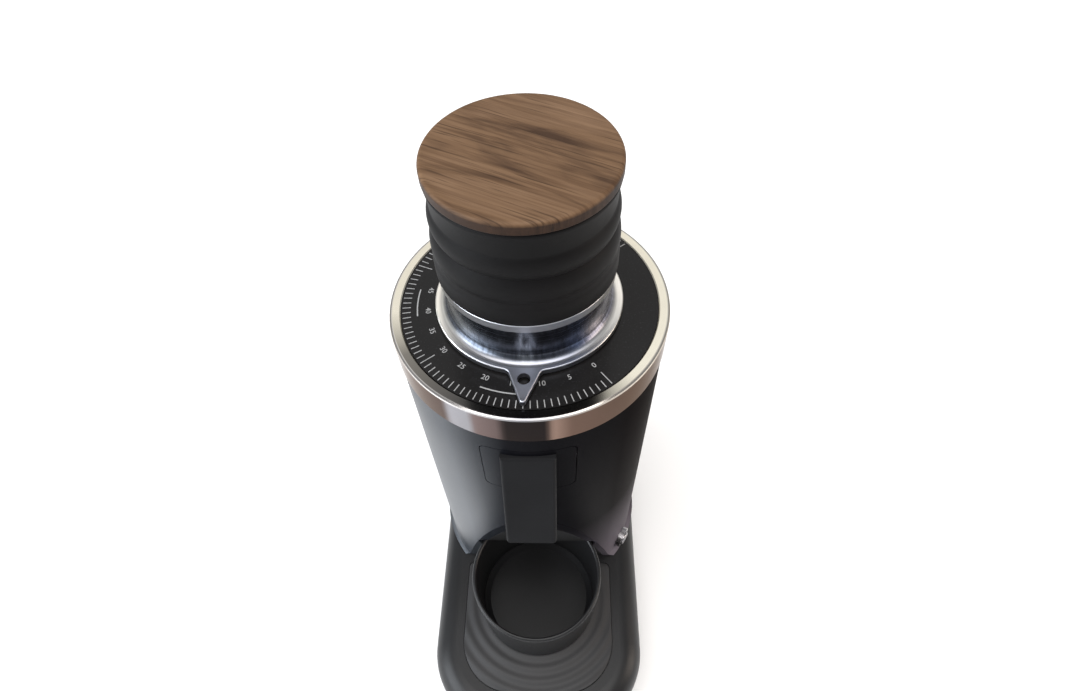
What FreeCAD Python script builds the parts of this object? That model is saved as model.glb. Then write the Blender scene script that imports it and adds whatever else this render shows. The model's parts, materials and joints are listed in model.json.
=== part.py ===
import FreeCAD, Part
import math
import os

os.makedirs("parts", exist_ok=True)
Vec = FreeCAD.Vector

# Frame: origin at the middle of the footprint on the table, +Z up, -Y the front.

# Driving dimensions in mm

# Base
BASE_LIP = 0.2
BASE_DEPTH = 200.0
BASE_TOP = 45.0
BASE_CORNER = 40.0
BASE_SHOULDER = 12.0
BASE_WALL = 3.5
FOOT_HEIGHT = 4.5
FOOT_RADIUS = 9.0
FOOT_INSET_X = 20.0
FOOT_INSET_Y = 25.0
PLATE_THICK = 2.0
MAT_EDGE_SIDE = 16.0
MAT_EDGE_FRONT = 15.0
MAT_THICK = 2.0
MAT_SINK = 1.0
MAT_ROUND = 27.0
MAT_BACK_GAP = 4.5
MAT_DISC_INSET = 0.7
MAT_RIBS = 5
MAT_RIB_FIRST = 8.0
MAT_RIB_STEP = 6.0
VENT_COUNT = 9
VENT_STEP = 9.0
AIR_HOLE = 19.0

# Column
AXIS_Y = 25.0
RING_STEP = 0.4
TUBE_WALL = 2.6
TUBE_LENGTH = 174.6
FLARE_SPREAD = 2.2
FLARE_HEIGHT = 6.0
SPIGOT_HEIGHT = 13.0
SPIGOT_WALL = 3.5
RING_HEIGHT = 15.4
RING_FACE = 4.4
LINER_WALL = 2.5
BAY_FOOT = 36.2
BAY_LEAN = 10.6
SEAT_INNER = 44.0
SEAT_THICK = 4.0

# Cup
CUP_REACH = 60.7
CUP_LIP = 1.9
CUP_MOUTH = 31.4
CUP_HEIGHT = 44.0
CUP_WALL = 1.4
CUP_TAPER = 1.4
BAY_GAP = 1.6
POCKET_RISE = 4.0

# Head
DIAL_THICK = 1.6
DIAL_SINK = 0.4
THREAD_OVER = 1.0
THREAD_LAND = 7.9
CHAMBER_WALL = 6.2
CHAMBER_GAP = 0.4
CHAMBER_DEPTH = 50.0
CHAMBER_FLOOR = 5.0
CAVITY_ROOM = 6.0
SHOULDER_WIDTH = 6.0
CARRIER_THICK = 10.0
CARRIER_RISE = 2.1
SHOULDER_GAP = 2.0
BURR_RADIUS = 32.0
BURR_BORE = 18.5
BURR_THICK = 8.0
BURR_GAP = 0.25
BURR_TEETH = 18
BURR_SCREW_INSET = 7.0
LUG_INSET = 3.0
LAND_SCREW_INSET = 3.6
SEAT_SCREW_INSET = 3.2
MOTOR_SCREW_INSET = 2.8
SPRING_RADIUS = 2.1
SPRING_WIRE = 0.8
SPRING_TURNS = 6
SPRING_POCKET = 12.0
SPRING_SEAT = 4.0
PIN_RADIUS = 2.0

# Adjuster collar and bellows
FLANGE_RADIUS = 36.5
FLANGE_LIFT = 0.7
FLANGE_THICK = 2.5
FLANGE_ROUND = 0.5
NECK_RADIUS = 31.2
NECK_FILLET = 4.0
LIP_RADIUS = 32.8
LIP_LOW = 20.3
LIP_TOP = 24.3
COLLAR_BORE = 27.0
COLLAR_THROAT = 21.0
POINTER_APEX = 51.3
POINTER_SLOPE = 0.394
POINTER_TIP_ROUND = 1.1
POINTER_ROOT_ROUND = 2.5
POINTER_HOLE = 2.4
POINTER_HOLE_AT = 39.8
POINTER_TURN = -1.0
BELLOWS_CUFF = 33.2
BELLOWS_VALLEY = 31.2
BELLOWS_WALL = 1.9
BELLOWS_MOUTH = 29.65
BELLOWS_HEIGHT = 40.1
BELLOWS_FOOT = 10.2
BELLOWS_RIB_LOW = 10.4
BELLOWS_RIB_HIGH = 9.2
MOUTH_RING_HEIGHT = 8.7
SPIGOT_DEPTH = 9.5
LID_RADIUS = 32.4
LID_THICK = 4.9
LID_SEAT_GAP = 0.2

# Chute
CHUTE_HALF = 10.75
CHUTE_TOP = 27.0
CHUTE_BOTTOM = 81.5
CHUTE_PROUD_TOP = 1.6
CHUTE_PROUD_LOW = 14.5
CHUTE_WALL = 2.2
CHUTE_ROUND = 1.4
CHUTE_FOOT_ROUND = 1.8
PANEL_HALF = 18.5
PANEL_TOP = 24.0
PANEL_LOW = 57.0
PANEL_CORNER = 3.0
PANEL_GAP = 0.3
PORT_HALF = 8.0
PORT_HEIGHT = 11.0
FLAP_HALF = 11.0
FLAP_THICK = 0.9

# Drive
SHAFT_RADIUS = 6.0
SEAL_RADIUS = 11.0
BEARING_RADIUS = 16.0
BEARING_WIDTH = 10.0
MOTOR_RADIUS = 34.0
MOTOR_WALL = 2.0
MOTOR_FOOT_GAP = 2.5
MOTOR_FLANGE = 40.0
MOTOR_FLANGE_THICK = 6.0
CAP_THICK = 12.0
ROTOR_RADIUS = 20.0
COIL_END = 6.0
COIL_GAP = 1.5
AIR_GAP = 0.6
FAN_RADIUS = 30.0
FAN_HEIGHT = 9.0
FAN_GAP = 3.0
FAN_BLADES = 9

# Switch and inlet
SWITCH_TURN = 60.0
SWITCH_RISE = 8.2
BEZEL_RADIUS = 6.0
BEZEL_PROUD = 2.4
BUTTON_RADIUS = 3.9
BUTTON_PROUD = 3.6
SWITCH_DEPTH = 22.0
INLET_HALF = 12.0
INLET_HEIGHT = 16.0
INLET_DEPTH = 19.0
INLET_RIM = 4.5
INLET_MID_Z = 22.0
INLET_FLANGE = 1.6
INLET_WALL = 2.0
BOARD_HALF = 32.0
BOARD_DEPTH = 80.0
BOARD_INSET = 38.0

# Clearances and fits
RUN_FIT = 0.08
CLOSE = 0.1
LOOSE = 0.3
AIR = 0.7

# Sizes and heights worked out from the driving dimensions
CAVITY_RADIUS = BURR_RADIUS + CAVITY_ROOM
CARRIER_RADIUS = CAVITY_RADIUS + SHOULDER_WIDTH
CHAMBER_RADIUS = CARRIER_RADIUS + CHAMBER_WALL
RING_INNER = CHAMBER_RADIUS + CHAMBER_GAP
RING_RADIUS = RING_INNER + RING_FACE
TUBE_RADIUS = RING_RADIUS - RING_STEP
SEAM_RADIUS = TUBE_RADIUS + FLARE_SPREAD
BASE_WIDTH = 2 * (SEAM_RADIUS + BASE_LIP)
FOOT_X = BASE_WIDTH / 2 - FOOT_INSET_X
FOOT_Y = BASE_DEPTH / 2 - FOOT_INSET_Y
MAT_HALF_WIDTH = BASE_WIDTH / 2 - MAT_EDGE_SIDE
MAT_FRONT = BASE_DEPTH / 2 - MAT_EDGE_FRONT
BOARD_BACK = BASE_DEPTH / 2 - BOARD_INSET
THREAD_RADIUS = BURR_RADIUS + THREAD_OVER
LUG_PITCH = CARRIER_RADIUS - LUG_INSET
BURR_SCREW_PITCH = BURR_RADIUS - BURR_SCREW_INSET
CUP_RADIUS = CUP_MOUTH + CUP_LIP
MAT_DISC = CUP_RADIUS - MAT_DISC_INSET
CUP_RIM_Z = BASE_TOP + CUP_HEIGHT
POCKET_TOP = CUP_RIM_Z + POCKET_RISE
BELLOWS_SEAT = LIP_TOP + CLOSE
BELLOWS_TOP = BELLOWS_SEAT + BELLOWS_HEIGHT
LID_TOP = BELLOWS_TOP + LID_SEAT_GAP + LID_THICK
TUBE_TOP = BASE_TOP + TUBE_LENGTH
HEAD_TOP = TUBE_TOP + RING_HEIGHT
DIAL_TOP = HEAD_TOP - DIAL_SINK
LAND_TOP = DIAL_TOP - DIAL_THICK
LAND_LOW = LAND_TOP - THREAD_LAND
CHAMBER_TOP = LAND_LOW - CLOSE
CHAMBER_LOW = LAND_TOP - CHAMBER_DEPTH
FLOOR_TOP = CHAMBER_LOW + CHAMBER_FLOOR
CARRIER_TOP = LAND_LOW - CARRIER_RISE
CARRIER_LOW = CARRIER_TOP - CARRIER_THICK
SHOULDER_Z = CARRIER_LOW - SHOULDER_GAP
BURR_FACE = CARRIER_LOW - BURR_THICK
LOWER_FACE = BURR_FACE - BURR_GAP
LOWER_SEAT = LOWER_FACE - BURR_THICK
MAT_TOP = BASE_TOP - MAT_SINK + MAT_THICK
SEAT_TOP = CHAMBER_LOW
SEAT_LOW = SEAT_TOP - SEAT_THICK
FLANGE_LOW = CHAMBER_LOW - MOTOR_FLANGE_THICK
SPINDLE_LOW = POCKET_TOP + LINER_WALL + MOTOR_FOOT_GAP
CAN_LOW = SPINDLE_LOW + FAN_HEIGHT + FAN_GAP + CAP_THICK
ROTOR_LENGTH = FLANGE_LOW - CAP_THICK - CAN_LOW - 2 * (COIL_END + COIL_GAP)
TUBE_INNER = TUBE_RADIUS - TUBE_WALL
CUP_Y = AXIS_Y - CUP_REACH
PORT_LOW = FLOOR_TOP + 1.0
PORT_TOP = PORT_LOW + PORT_HEIGHT

NODES = {}


# Shared shapes


def cyl(radius, z0, z1, x=0.0, y=AXIS_Y):
    return Part.makeCylinder(radius, z1 - z0, Vec(x, y, z0))


def tube(outer, inner, z0, z1, x=0.0, y=AXIS_Y):
    return cyl(outer, z0, z1, x, y).cut(cyl(inner, z0 - 1.0, z1 + 1.0, x, y))


def cone(r0, r1, z0, z1, x=0.0, y=AXIS_Y):
    return Part.makeCone(r0, r1, z1 - z0, Vec(x, y, z0))


def box(x0, x1, y0, y1, z0, z1):
    return Part.makeBox(x1 - x0, y1 - y0, z1 - z0, Vec(x0, y0, z0))


def rod(radius, start, way, length):
    return Part.makeCylinder(radius, length, start, way)


def rounded(solid, radius, pick):
    # rounds the upright edges whose middle the pick accepts
    posts = [e for e in solid.Edges if e.BoundBox.ZLength > e.Length - 0.001]
    return solid.makeFillet(radius, [e for e in posts if pick(e.CenterOfMass)])


def slab(width, depth, corner, z0, z1, y=0.0):
    solid = box(-width / 2, width / 2, y - depth / 2, y + depth / 2, z0, z1)
    return rounded(solid, corner, lambda spot: True)


def round_top(solid, radius):
    top = solid.BoundBox.ZMax
    rim = [e for e in solid.Edges if e.BoundBox.ZMin > top - 0.001]
    return solid.makeFillet(radius, rim)


def side_prism(points, half):
    # points are (forward distance from the column axis, height)
    corners = [Vec(-half, AXIS_Y - ahead, z) for ahead, z in points]
    face = Part.Face(Part.makePolygon(corners + corners[:1]))
    return face.extrude(Vec(2 * half, 0, 0))


def spun(edges, x=0.0, y=AXIS_Y):
    # edges run in the plane of radius and height
    face = Part.Face(Part.Wire(edges))
    solid = face.revolve(Vec(0, 0, 0), Vec(0, 0, 1), 360)
    solid.translate(Vec(x, y, 0))
    return solid


def rz(radius, z):
    return Vec(radius, 0, z)


def spun_points(points, x=0.0, y=AXIS_Y):
    corners = [rz(r, z) for r, z in points]
    return spun(Part.makePolygon(corners + corners[:1]).Edges, x, y)


def around(count, pitch, start):
    for i in range(count):
        turn = math.radians(start + 360.0 * i / count)
        yield pitch * math.cos(turn), AXIS_Y + pitch * math.sin(turn)


def joined(solids):
    whole = solids[0]
    for extra in solids[1:]:
        whole = whole.fuse(extra)
    return whole.removeSplitter()


def less(solid, tools):
    for tool in tools:
        solid = solid.cut(tool)
    return solid


def cap_screw(x, y, head_z, head_h, tip_z, radius, head):
    # head_z is the face that the head bears on, and the tip is on the other side
    way = 1.0 if tip_z > head_z else -1.0
    shank = rod(radius, Vec(x, y, head_z), Vec(0, 0, way), abs(tip_z - head_z))
    top = rod(head, Vec(x, y, head_z), Vec(0, 0, -way), head_h)
    key = rod(head * 0.5, Vec(x, y, head_z - way * head_h), Vec(0, 0, way), head_h * 0.5)
    return shank.fuse(top).cut(key)


def screw_set(name, places, head_z, head_h, tip_z, radius, head):
    screws = [cap_screw(x, y, head_z, head_h, tip_z, radius, head) for x, y in places]
    NODES[name] = Part.makeCompound(screws)


# The bay at the front of the column, where the cup stands


def bay_at(z):
    return BAY_FOOT + (z - BASE_TOP) * math.tan(math.radians(BAY_LEAN))


def bay_space(grow):
    low = BASE_TOP - 10.0
    high = BASE_TOP + (TUBE_RADIUS + 4.0 - BAY_FOOT) / math.tan(math.radians(BAY_LEAN))
    slope = [(bay_at(low) - grow, low), (bay_at(high) - grow, high), (130.0, high), (130.0, low)]
    pocket = cyl(CUP_RADIUS + BAY_GAP + grow, low, POCKET_TOP + grow, 0.0, CUP_Y)
    return side_prism(slope, 80.0).fuse(pocket)


# Places shared by several pieces

FOOT_PLACES = [(sx * FOOT_X, sy * FOOT_Y) for sx in (-1, 1) for sy in (-1, 1)]
SPRING_PLACES = list(around(3, LUG_PITCH, 90.0))
PIN_PLACES = [(x, y) for x, y in around(3, LUG_PITCH, 30.0) if y > 0]
LAND_SCREW_PLACES = list(around(4, CHAMBER_RADIUS - LAND_SCREW_INSET, 45.0))
SEAT_SCREW_PLACES = list(around(4, CHAMBER_RADIUS - SEAT_SCREW_INSET, 45.0))
MOTOR_SCREW_PLACES = list(around(3, MOTOR_FLANGE - MOTOR_SCREW_INSET, 90.0))
BURR_SCREW_PLACES = list(around(3, BURR_SCREW_PITCH, 30.0))
TUBE_SCREW_TURNS = (30.0, 90.0, 150.0)
FLAP_Y = (AXIS_Y - TUBE_RADIUS - 5.4, AXIS_Y - TUBE_INNER + 12.0)
TUBE_SCREW_Z = BASE_TOP + FLARE_HEIGHT + 3.2
CHUTE_SCREW_X = 6.6
CHUTE_SCREW_Z = HEAD_TOP - 68.0


def turned_way(degrees):
    turn = math.radians(degrees)
    return Vec(math.cos(turn), math.sin(turn), 0)


def radial_rod(radius, degrees, z, r0, r1):
    way = turned_way(degrees)
    return rod(radius, Vec(0, AXIS_Y, z) + way * r0, way, r1 - r0)


# Switch axis, radial at the lower right of the column

SWITCH_WAY = turned_way(SWITCH_TURN - 90.0)
SWITCH_FACE = Vec(0, AXIS_Y, BASE_TOP + SWITCH_RISE) + SWITCH_WAY * TUBE_RADIUS
SWITCH_NUT = -(TUBE_WALL + 1.4)


def switch_rod(radius, s0, s1):
    return rod(radius, SWITCH_FACE + SWITCH_WAY * s0, SWITCH_WAY, s1 - s0)


# Base pieces


def mat_plan(z0, z1, gap):
    back = AXIS_Y - BAY_FOOT - MAT_BACK_GAP - gap
    front = -MAT_FRONT + gap
    solid = box(-MAT_HALF_WIDTH + gap, MAT_HALF_WIDTH - gap, front, back, z0, z1)
    solid = rounded(solid, MAT_ROUND - gap, lambda spot: spot.y < front + 1.0)
    solid = rounded(solid, 3.0, lambda spot: spot.y > back - 1.0)
    return joined([solid, cyl(MAT_DISC - gap, z0, z1, 0.0, CUP_Y)])


def base_outer(inset, z0, z1):
    solid = slab(BASE_WIDTH - 2 * inset, BASE_DEPTH - 2 * inset, BASE_CORNER - inset, z0, z1)
    return round_top(solid, BASE_SHOULDER - inset)


def make_base_shell():
    outer = base_outer(0.0, FOOT_HEIGHT, BASE_TOP)
    outer = joined([outer, cyl(SEAM_RADIUS, BASE_TOP - BASE_SHOULDER - 1.0, BASE_TOP)])
    shell = outer.cut(base_outer(BASE_WALL, FOOT_HEIGHT - 1.0, BASE_TOP - BASE_WALL))
    low = FOOT_HEIGHT + PLATE_THICK
    posts = [cyl(5.0, low, BASE_TOP - 1.0, x, y).common(outer) for x, y in FOOT_PLACES]
    spigot = tube(TUBE_INNER - CLOSE, TUBE_INNER - SPIGOT_WALL, BASE_TOP - 1.0, BASE_TOP + SPIGOT_HEIGHT)
    spigot = spigot.cut(bay_space(LINER_WALL + 2 * LOOSE))
    shell = joined([shell, spigot] + posts)
    holes = [cyl(2.0, low - 1.0, low + 14.0, x, y) for x, y in FOOT_PLACES]
    holes.append(cyl(AIR_HOLE, BASE_TOP - BASE_WALL - 1.0, BASE_TOP + 1.0))
    holes.append(mat_plan(BASE_TOP - MAT_SINK, BASE_TOP + 1.0, 0.0))
    holes.append(switch_rod(BEZEL_RADIUS + AIR, -SWITCH_DEPTH, 10.0))
    for turn in TUBE_SCREW_TURNS:
        holes.append(radial_rod(1.5, turn, TUBE_SCREW_Z, TUBE_INNER - 7.0, TUBE_INNER + 2.0))
    holes.append(inlet_block(INLET_RIM + CLOSE, BASE_DEPTH / 2 - INLET_FLANGE, BASE_DEPTH / 2 + 1.0))
    holes.append(inlet_block(INLET_WALL + CLOSE, BASE_DEPTH / 2 - 10.0, BASE_DEPTH / 2 + 1.0))
    NODES["base_shell"] = less(shell, holes)


def make_base_plate():
    inset = BASE_WALL + LOOSE
    high = FOOT_HEIGHT + PLATE_THICK - CLOSE
    plate = slab(BASE_WIDTH - 2 * inset, BASE_DEPTH - 2 * inset, BASE_CORNER - inset, FOOT_HEIGHT, high)
    holes = [cyl(2.3, 0.0, 20.0, x, y) for x, y in FOOT_PLACES]
    for i in range(VENT_COUNT):
        y = (i - (VENT_COUNT - 1) / 2) * VENT_STEP
        holes.append(box(-20.0, 20.0, y - 1.5, y + 1.5, 0.0, 20.0))
    NODES["base_plate"] = less(plate, holes)


def make_feet():
    top = FOOT_RADIUS + 0.5
    outline = [(2.3, 2.4), (4.4, 2.4), (4.4, 0.0), (FOOT_RADIUS, 0.0), (top, FOOT_HEIGHT)]
    outline.append((2.3, FOOT_HEIGHT))
    for i, (x, y) in enumerate(FOOT_PLACES):
        NODES["foot_%d" % (i + 1)] = spun_points(outline, x, y)
    screw_set("foot_screws", FOOT_PLACES, 2.4, 1.8, FOOT_HEIGHT + 14.0, 2.0, 4.0)


def make_cup_mat():
    mat = mat_plan(BASE_TOP - MAT_SINK, MAT_TOP, LOOSE)
    ribs = []
    for i in range(MAT_RIBS):
        r = MAT_RIB_FIRST + i * MAT_RIB_STEP
        ribs.append(tube(r + 0.6, r - 0.6, MAT_TOP - 0.5, MAT_TOP + 1.0, 0.0, CUP_Y))
    NODES["cup_mat"] = less(mat, ribs)


# Column pieces


def panel_space(gap, r0, r1):
    z0 = HEAD_TOP - PANEL_LOW - gap
    z1 = HEAD_TOP - PANEL_TOP + gap
    half = PANEL_HALF + gap
    front = AXIS_Y - TUBE_RADIUS - 10.0
    solid = box(-half, half, front, AXIS_Y - TUBE_INNER + 22.0, z0, z1)
    posts = [e for e in solid.Edges if e.BoundBox.YLength > 1.0]
    solid = solid.makeFillet(PANEL_CORNER, posts)
    return solid.common(tube(r1, r0, z0 - 1.0, z1 + 1.0))


def flare_ring():
    # the foot of the column spreads out to the seam on the base
    spread = SEAM_RADIUS - TUBE_RADIUS
    top = BASE_TOP + FLARE_HEIGHT
    start = rz(TUBE_RADIUS, top)
    end = rz(SEAM_RADIUS, BASE_TOP + 0.6)
    bend = rz(TUBE_RADIUS + spread * 0.25, BASE_TOP + 0.6 + (FLARE_HEIGHT - 0.6) * 0.42)
    edges = [Part.Arc(start, bend, end).toShape()]
    inner = TUBE_RADIUS - 1.0
    back = [end, rz(SEAM_RADIUS, BASE_TOP), rz(inner, BASE_TOP), rz(inner, top), start]
    edges += Part.makePolygon(back).Edges
    return spun(edges)


def make_body_tube():
    shell = tube(TUBE_RADIUS, TUBE_INNER, BASE_TOP, TUBE_TOP)
    shell = joined([shell, flare_ring()])
    seat = tube(TUBE_INNER + 0.5, SEAT_INNER, SEAT_LOW, SEAT_TOP)
    shell = joined([shell, seat])
    holes = [bay_space(0.0), panel_space(PANEL_GAP, CHAMBER_RADIUS - 0.2, TUBE_RADIUS + 5.0)]
    for turn in TUBE_SCREW_TURNS:
        holes.append(radial_rod(1.7, turn, TUBE_SCREW_Z, TUBE_INNER - 7.0, TUBE_RADIUS + 5.4))
    holes += [cyl(2.2, SEAT_LOW - 1.0, SEAT_TOP + 1.0, x, y) for x, y in SEAT_SCREW_PLACES]
    holes += [chute_screw_rod(side, 1.4, TUBE_INNER - 12.0, TUBE_RADIUS + 5.4) for side in (-1, 1)]
    holes.append(switch_rod(BUTTON_RADIUS + 1.3 + CLOSE, -10.0, 10.0))
    holes.append(switch_rod(BEZEL_RADIUS + CLOSE, -0.6, 10.0))
    NODES["body_tube"] = less(shell, holes)


def chute_screw_rod(side, radius, ahead0, ahead1):
    start = Vec(side * CHUTE_SCREW_X, AXIS_Y - ahead0, CHUTE_SCREW_Z)
    return rod(radius, start, Vec(0, -1, 0), ahead1 - ahead0)


def make_tube_screws():
    screws = []
    for turn in TUBE_SCREW_TURNS:
        shank = radial_rod(1.5, turn, TUBE_SCREW_Z, TUBE_INNER - 4.5, TUBE_RADIUS + 0.3)
        head = radial_rod(2.8, turn, TUBE_SCREW_Z, TUBE_RADIUS + CLOSE, TUBE_RADIUS + 1.6)
        key = radial_rod(1.2, turn, TUBE_SCREW_Z, TUBE_RADIUS + 0.8, TUBE_RADIUS + 3.0)
        screws.append(shank.fuse(head).cut(key))
    NODES["tube_screws"] = Part.makeCompound(screws)


def make_bay_liner():
    core = cyl(TUBE_INNER - CLOSE, BASE_TOP + CLOSE, HEAD_TOP - PANEL_LOW - 5.0)
    NODES["bay_liner"] = core.common(bay_space(LINER_WALL)).cut(bay_space(0.0))


def make_trim_ring():
    inner = RING_INNER
    low = TUBE_TOP + CLOSE
    outline = [
        (inner, HEAD_TOP - 0.4), (inner + 0.4, HEAD_TOP), (RING_RADIUS - 0.9, HEAD_TOP),
        (RING_RADIUS - 0.25, HEAD_TOP - 0.25), (RING_RADIUS, HEAD_TOP - 0.9), (RING_RADIUS, low + 0.5),
        (RING_RADIUS - 0.5, low), (TUBE_INNER - CLOSE, low), (TUBE_INNER - CLOSE, low - 4.0),
        (inner, low - 4.0),
    ]
    NODES["trim_ring"] = spun_points(outline)


# Grinding head


def make_dial_plate():
    outer = RING_INNER - 2 * CLOSE
    NODES["dial_plate"] = tube(outer, THREAD_RADIUS + LOOSE, LAND_TOP, DIAL_TOP)


def make_thread_ring():
    ring = tube(CHAMBER_RADIUS, THREAD_RADIUS, LAND_LOW, LAND_TOP)
    holes = [cyl(1.7, LAND_LOW - 1.0, LAND_TOP + 1.0, x, y) for x, y in LAND_SCREW_PLACES]
    holes += [cyl(2.7, LAND_TOP - 3.0, LAND_TOP + 1.0, x, y) for x, y in LAND_SCREW_PLACES]
    NODES["thread_ring"] = less(ring, holes)
    screw_set("thread_ring_screws", LAND_SCREW_PLACES, LAND_TOP - 3.0, 2.6, LAND_LOW - 9.0, 1.5, 2.5)


def make_chamber():
    body = cyl(CHAMBER_RADIUS, CHAMBER_LOW, CHAMBER_TOP)
    near = CAVITY_RADIUS - 8.0
    far = TUBE_RADIUS + 5.4
    port = side_prism([(near, PORT_LOW), (far, PORT_LOW), (far, PORT_TOP), (near, PORT_TOP)], PORT_HALF)
    holes = [
        cyl(CARRIER_RADIUS, SHOULDER_Z, CHAMBER_TOP + 1.0),
        cyl(CAVITY_RADIUS, FLOOR_TOP, CHAMBER_TOP),
        cyl(SEAL_RADIUS, CHAMBER_LOW - 1.0, FLOOR_TOP + 1.0),
        port,
    ]
    well = SHOULDER_Z - SPRING_POCKET
    holes += [cyl(SPRING_RADIUS + 0.9, well, SHOULDER_Z + 1.0, x, y) for x, y in SPRING_PLACES]
    holes += [cyl(PIN_RADIUS, SHOULDER_Z - 8.0, SHOULDER_Z + 1.0, x, y) for x, y in PIN_PLACES]
    holes += [cyl(1.5, CHAMBER_TOP - 9.5, CHAMBER_TOP + 1.0, x, y) for x, y in LAND_SCREW_PLACES]
    holes += [cyl(2.0, CHAMBER_LOW - 1.0, CHAMBER_LOW + 9.0, x, y) for x, y in SEAT_SCREW_PLACES]
    holes += [cyl(1.5, CHAMBER_LOW - 1.0, CHAMBER_LOW + 4.0, x, y) for x, y in MOTOR_SCREW_PLACES]
    NODES["grind_chamber"] = less(body, holes)
    screw_set("chamber_screws", SEAT_SCREW_PLACES, SEAT_LOW, 3.0, CHAMBER_LOW + 8.5, 2.0, 3.4)
    seal = tube(SEAL_RADIUS, SHAFT_RADIUS + RUN_FIT, CHAMBER_LOW + 0.5, FLOOR_TOP - 0.5)
    NODES["shaft_seal"] = seal


def make_upper_carrier():
    disc = cyl(CARRIER_RADIUS - RUN_FIT, CARRIER_LOW, CARRIER_TOP)
    holes = [cone(BURR_BORE, COLLAR_THROAT, CARRIER_LOW, CARRIER_TOP)]
    seat = CARRIER_LOW + SPRING_SEAT
    holes += [cyl(SPRING_RADIUS + 0.9, CARRIER_LOW - 1.0, seat, x, y) for x, y in SPRING_PLACES]
    holes += [cyl(PIN_RADIUS + RUN_FIT, CARRIER_LOW - 1.0, CARRIER_TOP + 1.0, x, y) for x, y in PIN_PLACES]
    holes += [cyl(2.0, CARRIER_LOW - 1.0, CARRIER_LOW + 7.0, x, y) for x, y in BURR_SCREW_PLACES]
    NODES["upper_carrier"] = less(disc, holes)
    pins = [cyl(PIN_RADIUS, SHOULDER_Z - 8.0, CARRIER_TOP - 2.0, x, y) for x, y in PIN_PLACES]
    NODES["guide_pins"] = Part.makeCompound(pins)


def make_springs():
    low = SHOULDER_Z - SPRING_POCKET + SPRING_WIRE / 2 + CLOSE
    high = CARRIER_LOW + SPRING_SEAT - SPRING_WIRE / 2 - CLOSE
    for i, (x, y) in enumerate(SPRING_PLACES):
        path = Part.makeHelix((high - low) / SPRING_TURNS, high - low, SPRING_RADIUS)
        ring = Part.makeCircle(SPRING_WIRE / 2, Vec(SPRING_RADIUS, 0, 0), Vec(0, 1, 0))
        coil = Part.Wire(path.Edges).makePipeShell([Part.Wire(ring)], True, True)
        coil.translate(Vec(x, y, low))
        NODES["carrier_spring_%d" % (i + 1)] = coil


def burr(face_z, back_z):
    # a flat burr whose cutting face is at face_z
    low = min(face_z, back_z)
    ring = tube(BURR_RADIUS, BURR_BORE, low, low + BURR_THICK)
    way = 1.0 if face_z > back_z else -1.0
    dish = Part.makeCone(
        BURR_RADIUS - 4.0, BURR_BORE, 3.0, Vec(0, AXIS_Y, face_z + way * 0.01), Vec(0, 0, -way))
    teeth = []
    for i in range(BURR_TEETH):
        tooth = box(BURR_BORE - 3.0, BURR_RADIUS + 1.0, -0.7, 0.7, -1.1, 1.1)
        tooth.rotate(Vec(0, 0, 0), Vec(1, 0, 0), 45)
        tooth.translate(Vec(0, 9.0, face_z))
        tooth.rotate(Vec(0, 0, 0), Vec(0, 0, 1), 360.0 * i / BURR_TEETH)
        tooth.translate(Vec(0, AXIS_Y, 0))
        teeth.append(tooth)
    holes = [cyl(2.2, low - 1.0, low + BURR_THICK + 1.0, x, y) for x, y in BURR_SCREW_PLACES]
    holes += [rod(3.8, Vec(x, y, face_z - way * 4.6), Vec(0, 0, way), 6.0) for x, y in BURR_SCREW_PLACES]
    return less(ring, [dish] + teeth + holes)


def make_burrs():
    NODES["upper_burr"] = burr(BURR_FACE, CARRIER_LOW)
    screw_set("upper_burr_screws", BURR_SCREW_PLACES, BURR_FACE + 4.6, 2.4, CARRIER_LOW + 6.5, 2.0, 3.5)
    NODES["lower_burr"] = burr(LOWER_FACE, LOWER_SEAT)
    screw_set("lower_burr_screws", BURR_SCREW_PLACES, LOWER_FACE - 4.6, 2.4, LOWER_SEAT - 4.5, 2.0, 3.5)


def make_lower_carrier():
    low = FLOOR_TOP + 2.0
    disc = cyl(BURR_RADIUS + 1.0, low, LOWER_SEAT)
    sweepers = []
    for i in range(3):
        sweep = box(BURR_RADIUS - 2.0, CAVITY_RADIUS - AIR, -3.0, 3.0, low - 1.0, low + 4.0)
        sweep.rotate(Vec(0, 0, 0), Vec(0, 0, 1), 90.0 + 120.0 * i)
        sweep.translate(Vec(0, AXIS_Y, 0))
        sweepers.append(sweep.common(cyl(CAVITY_RADIUS - AIR, low - 2.0, low + 6.0)))
    hub = cyl(12.0, low - 1.2, LOWER_SEAT + 2.0)
    disc = joined([disc, hub] + sweepers)
    holes = [cyl(SHAFT_RADIUS, low - 3.0, LOWER_SEAT + 5.0)]
    holes += [cyl(2.0, LOWER_SEAT - 5.0, LOWER_SEAT + 1.0, x, y) for x, y in BURR_SCREW_PLACES]
    NODES["lower_carrier"] = less(disc, holes)


def make_carrier_nut():
    low = LOWER_SEAT + 2.0
    corners = [Vec(x, y, low) for x, y in around(6, 9.0, 0.0)]
    nut = Part.Face(Part.makePolygon(corners + corners[:1])).extrude(Vec(0, 0, 6.0))
    dome = cone(8.0, 3.0, low + 6.0, low + 11.0)
    NODES["carrier_nut"] = joined([nut, dome]).cut(cyl(SHAFT_RADIUS - 2.0, low - 1.0, low + 8.0))


# Drive


def make_spindle():
    shaft = cyl(SHAFT_RADIUS, SPINDLE_LOW, LOWER_SEAT + 2.0)
    stud = cyl(SHAFT_RADIUS - 2.0, LOWER_SEAT + 1.0, LOWER_SEAT + 9.5)
    NODES["spindle"] = joined([shaft, stud])


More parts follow.
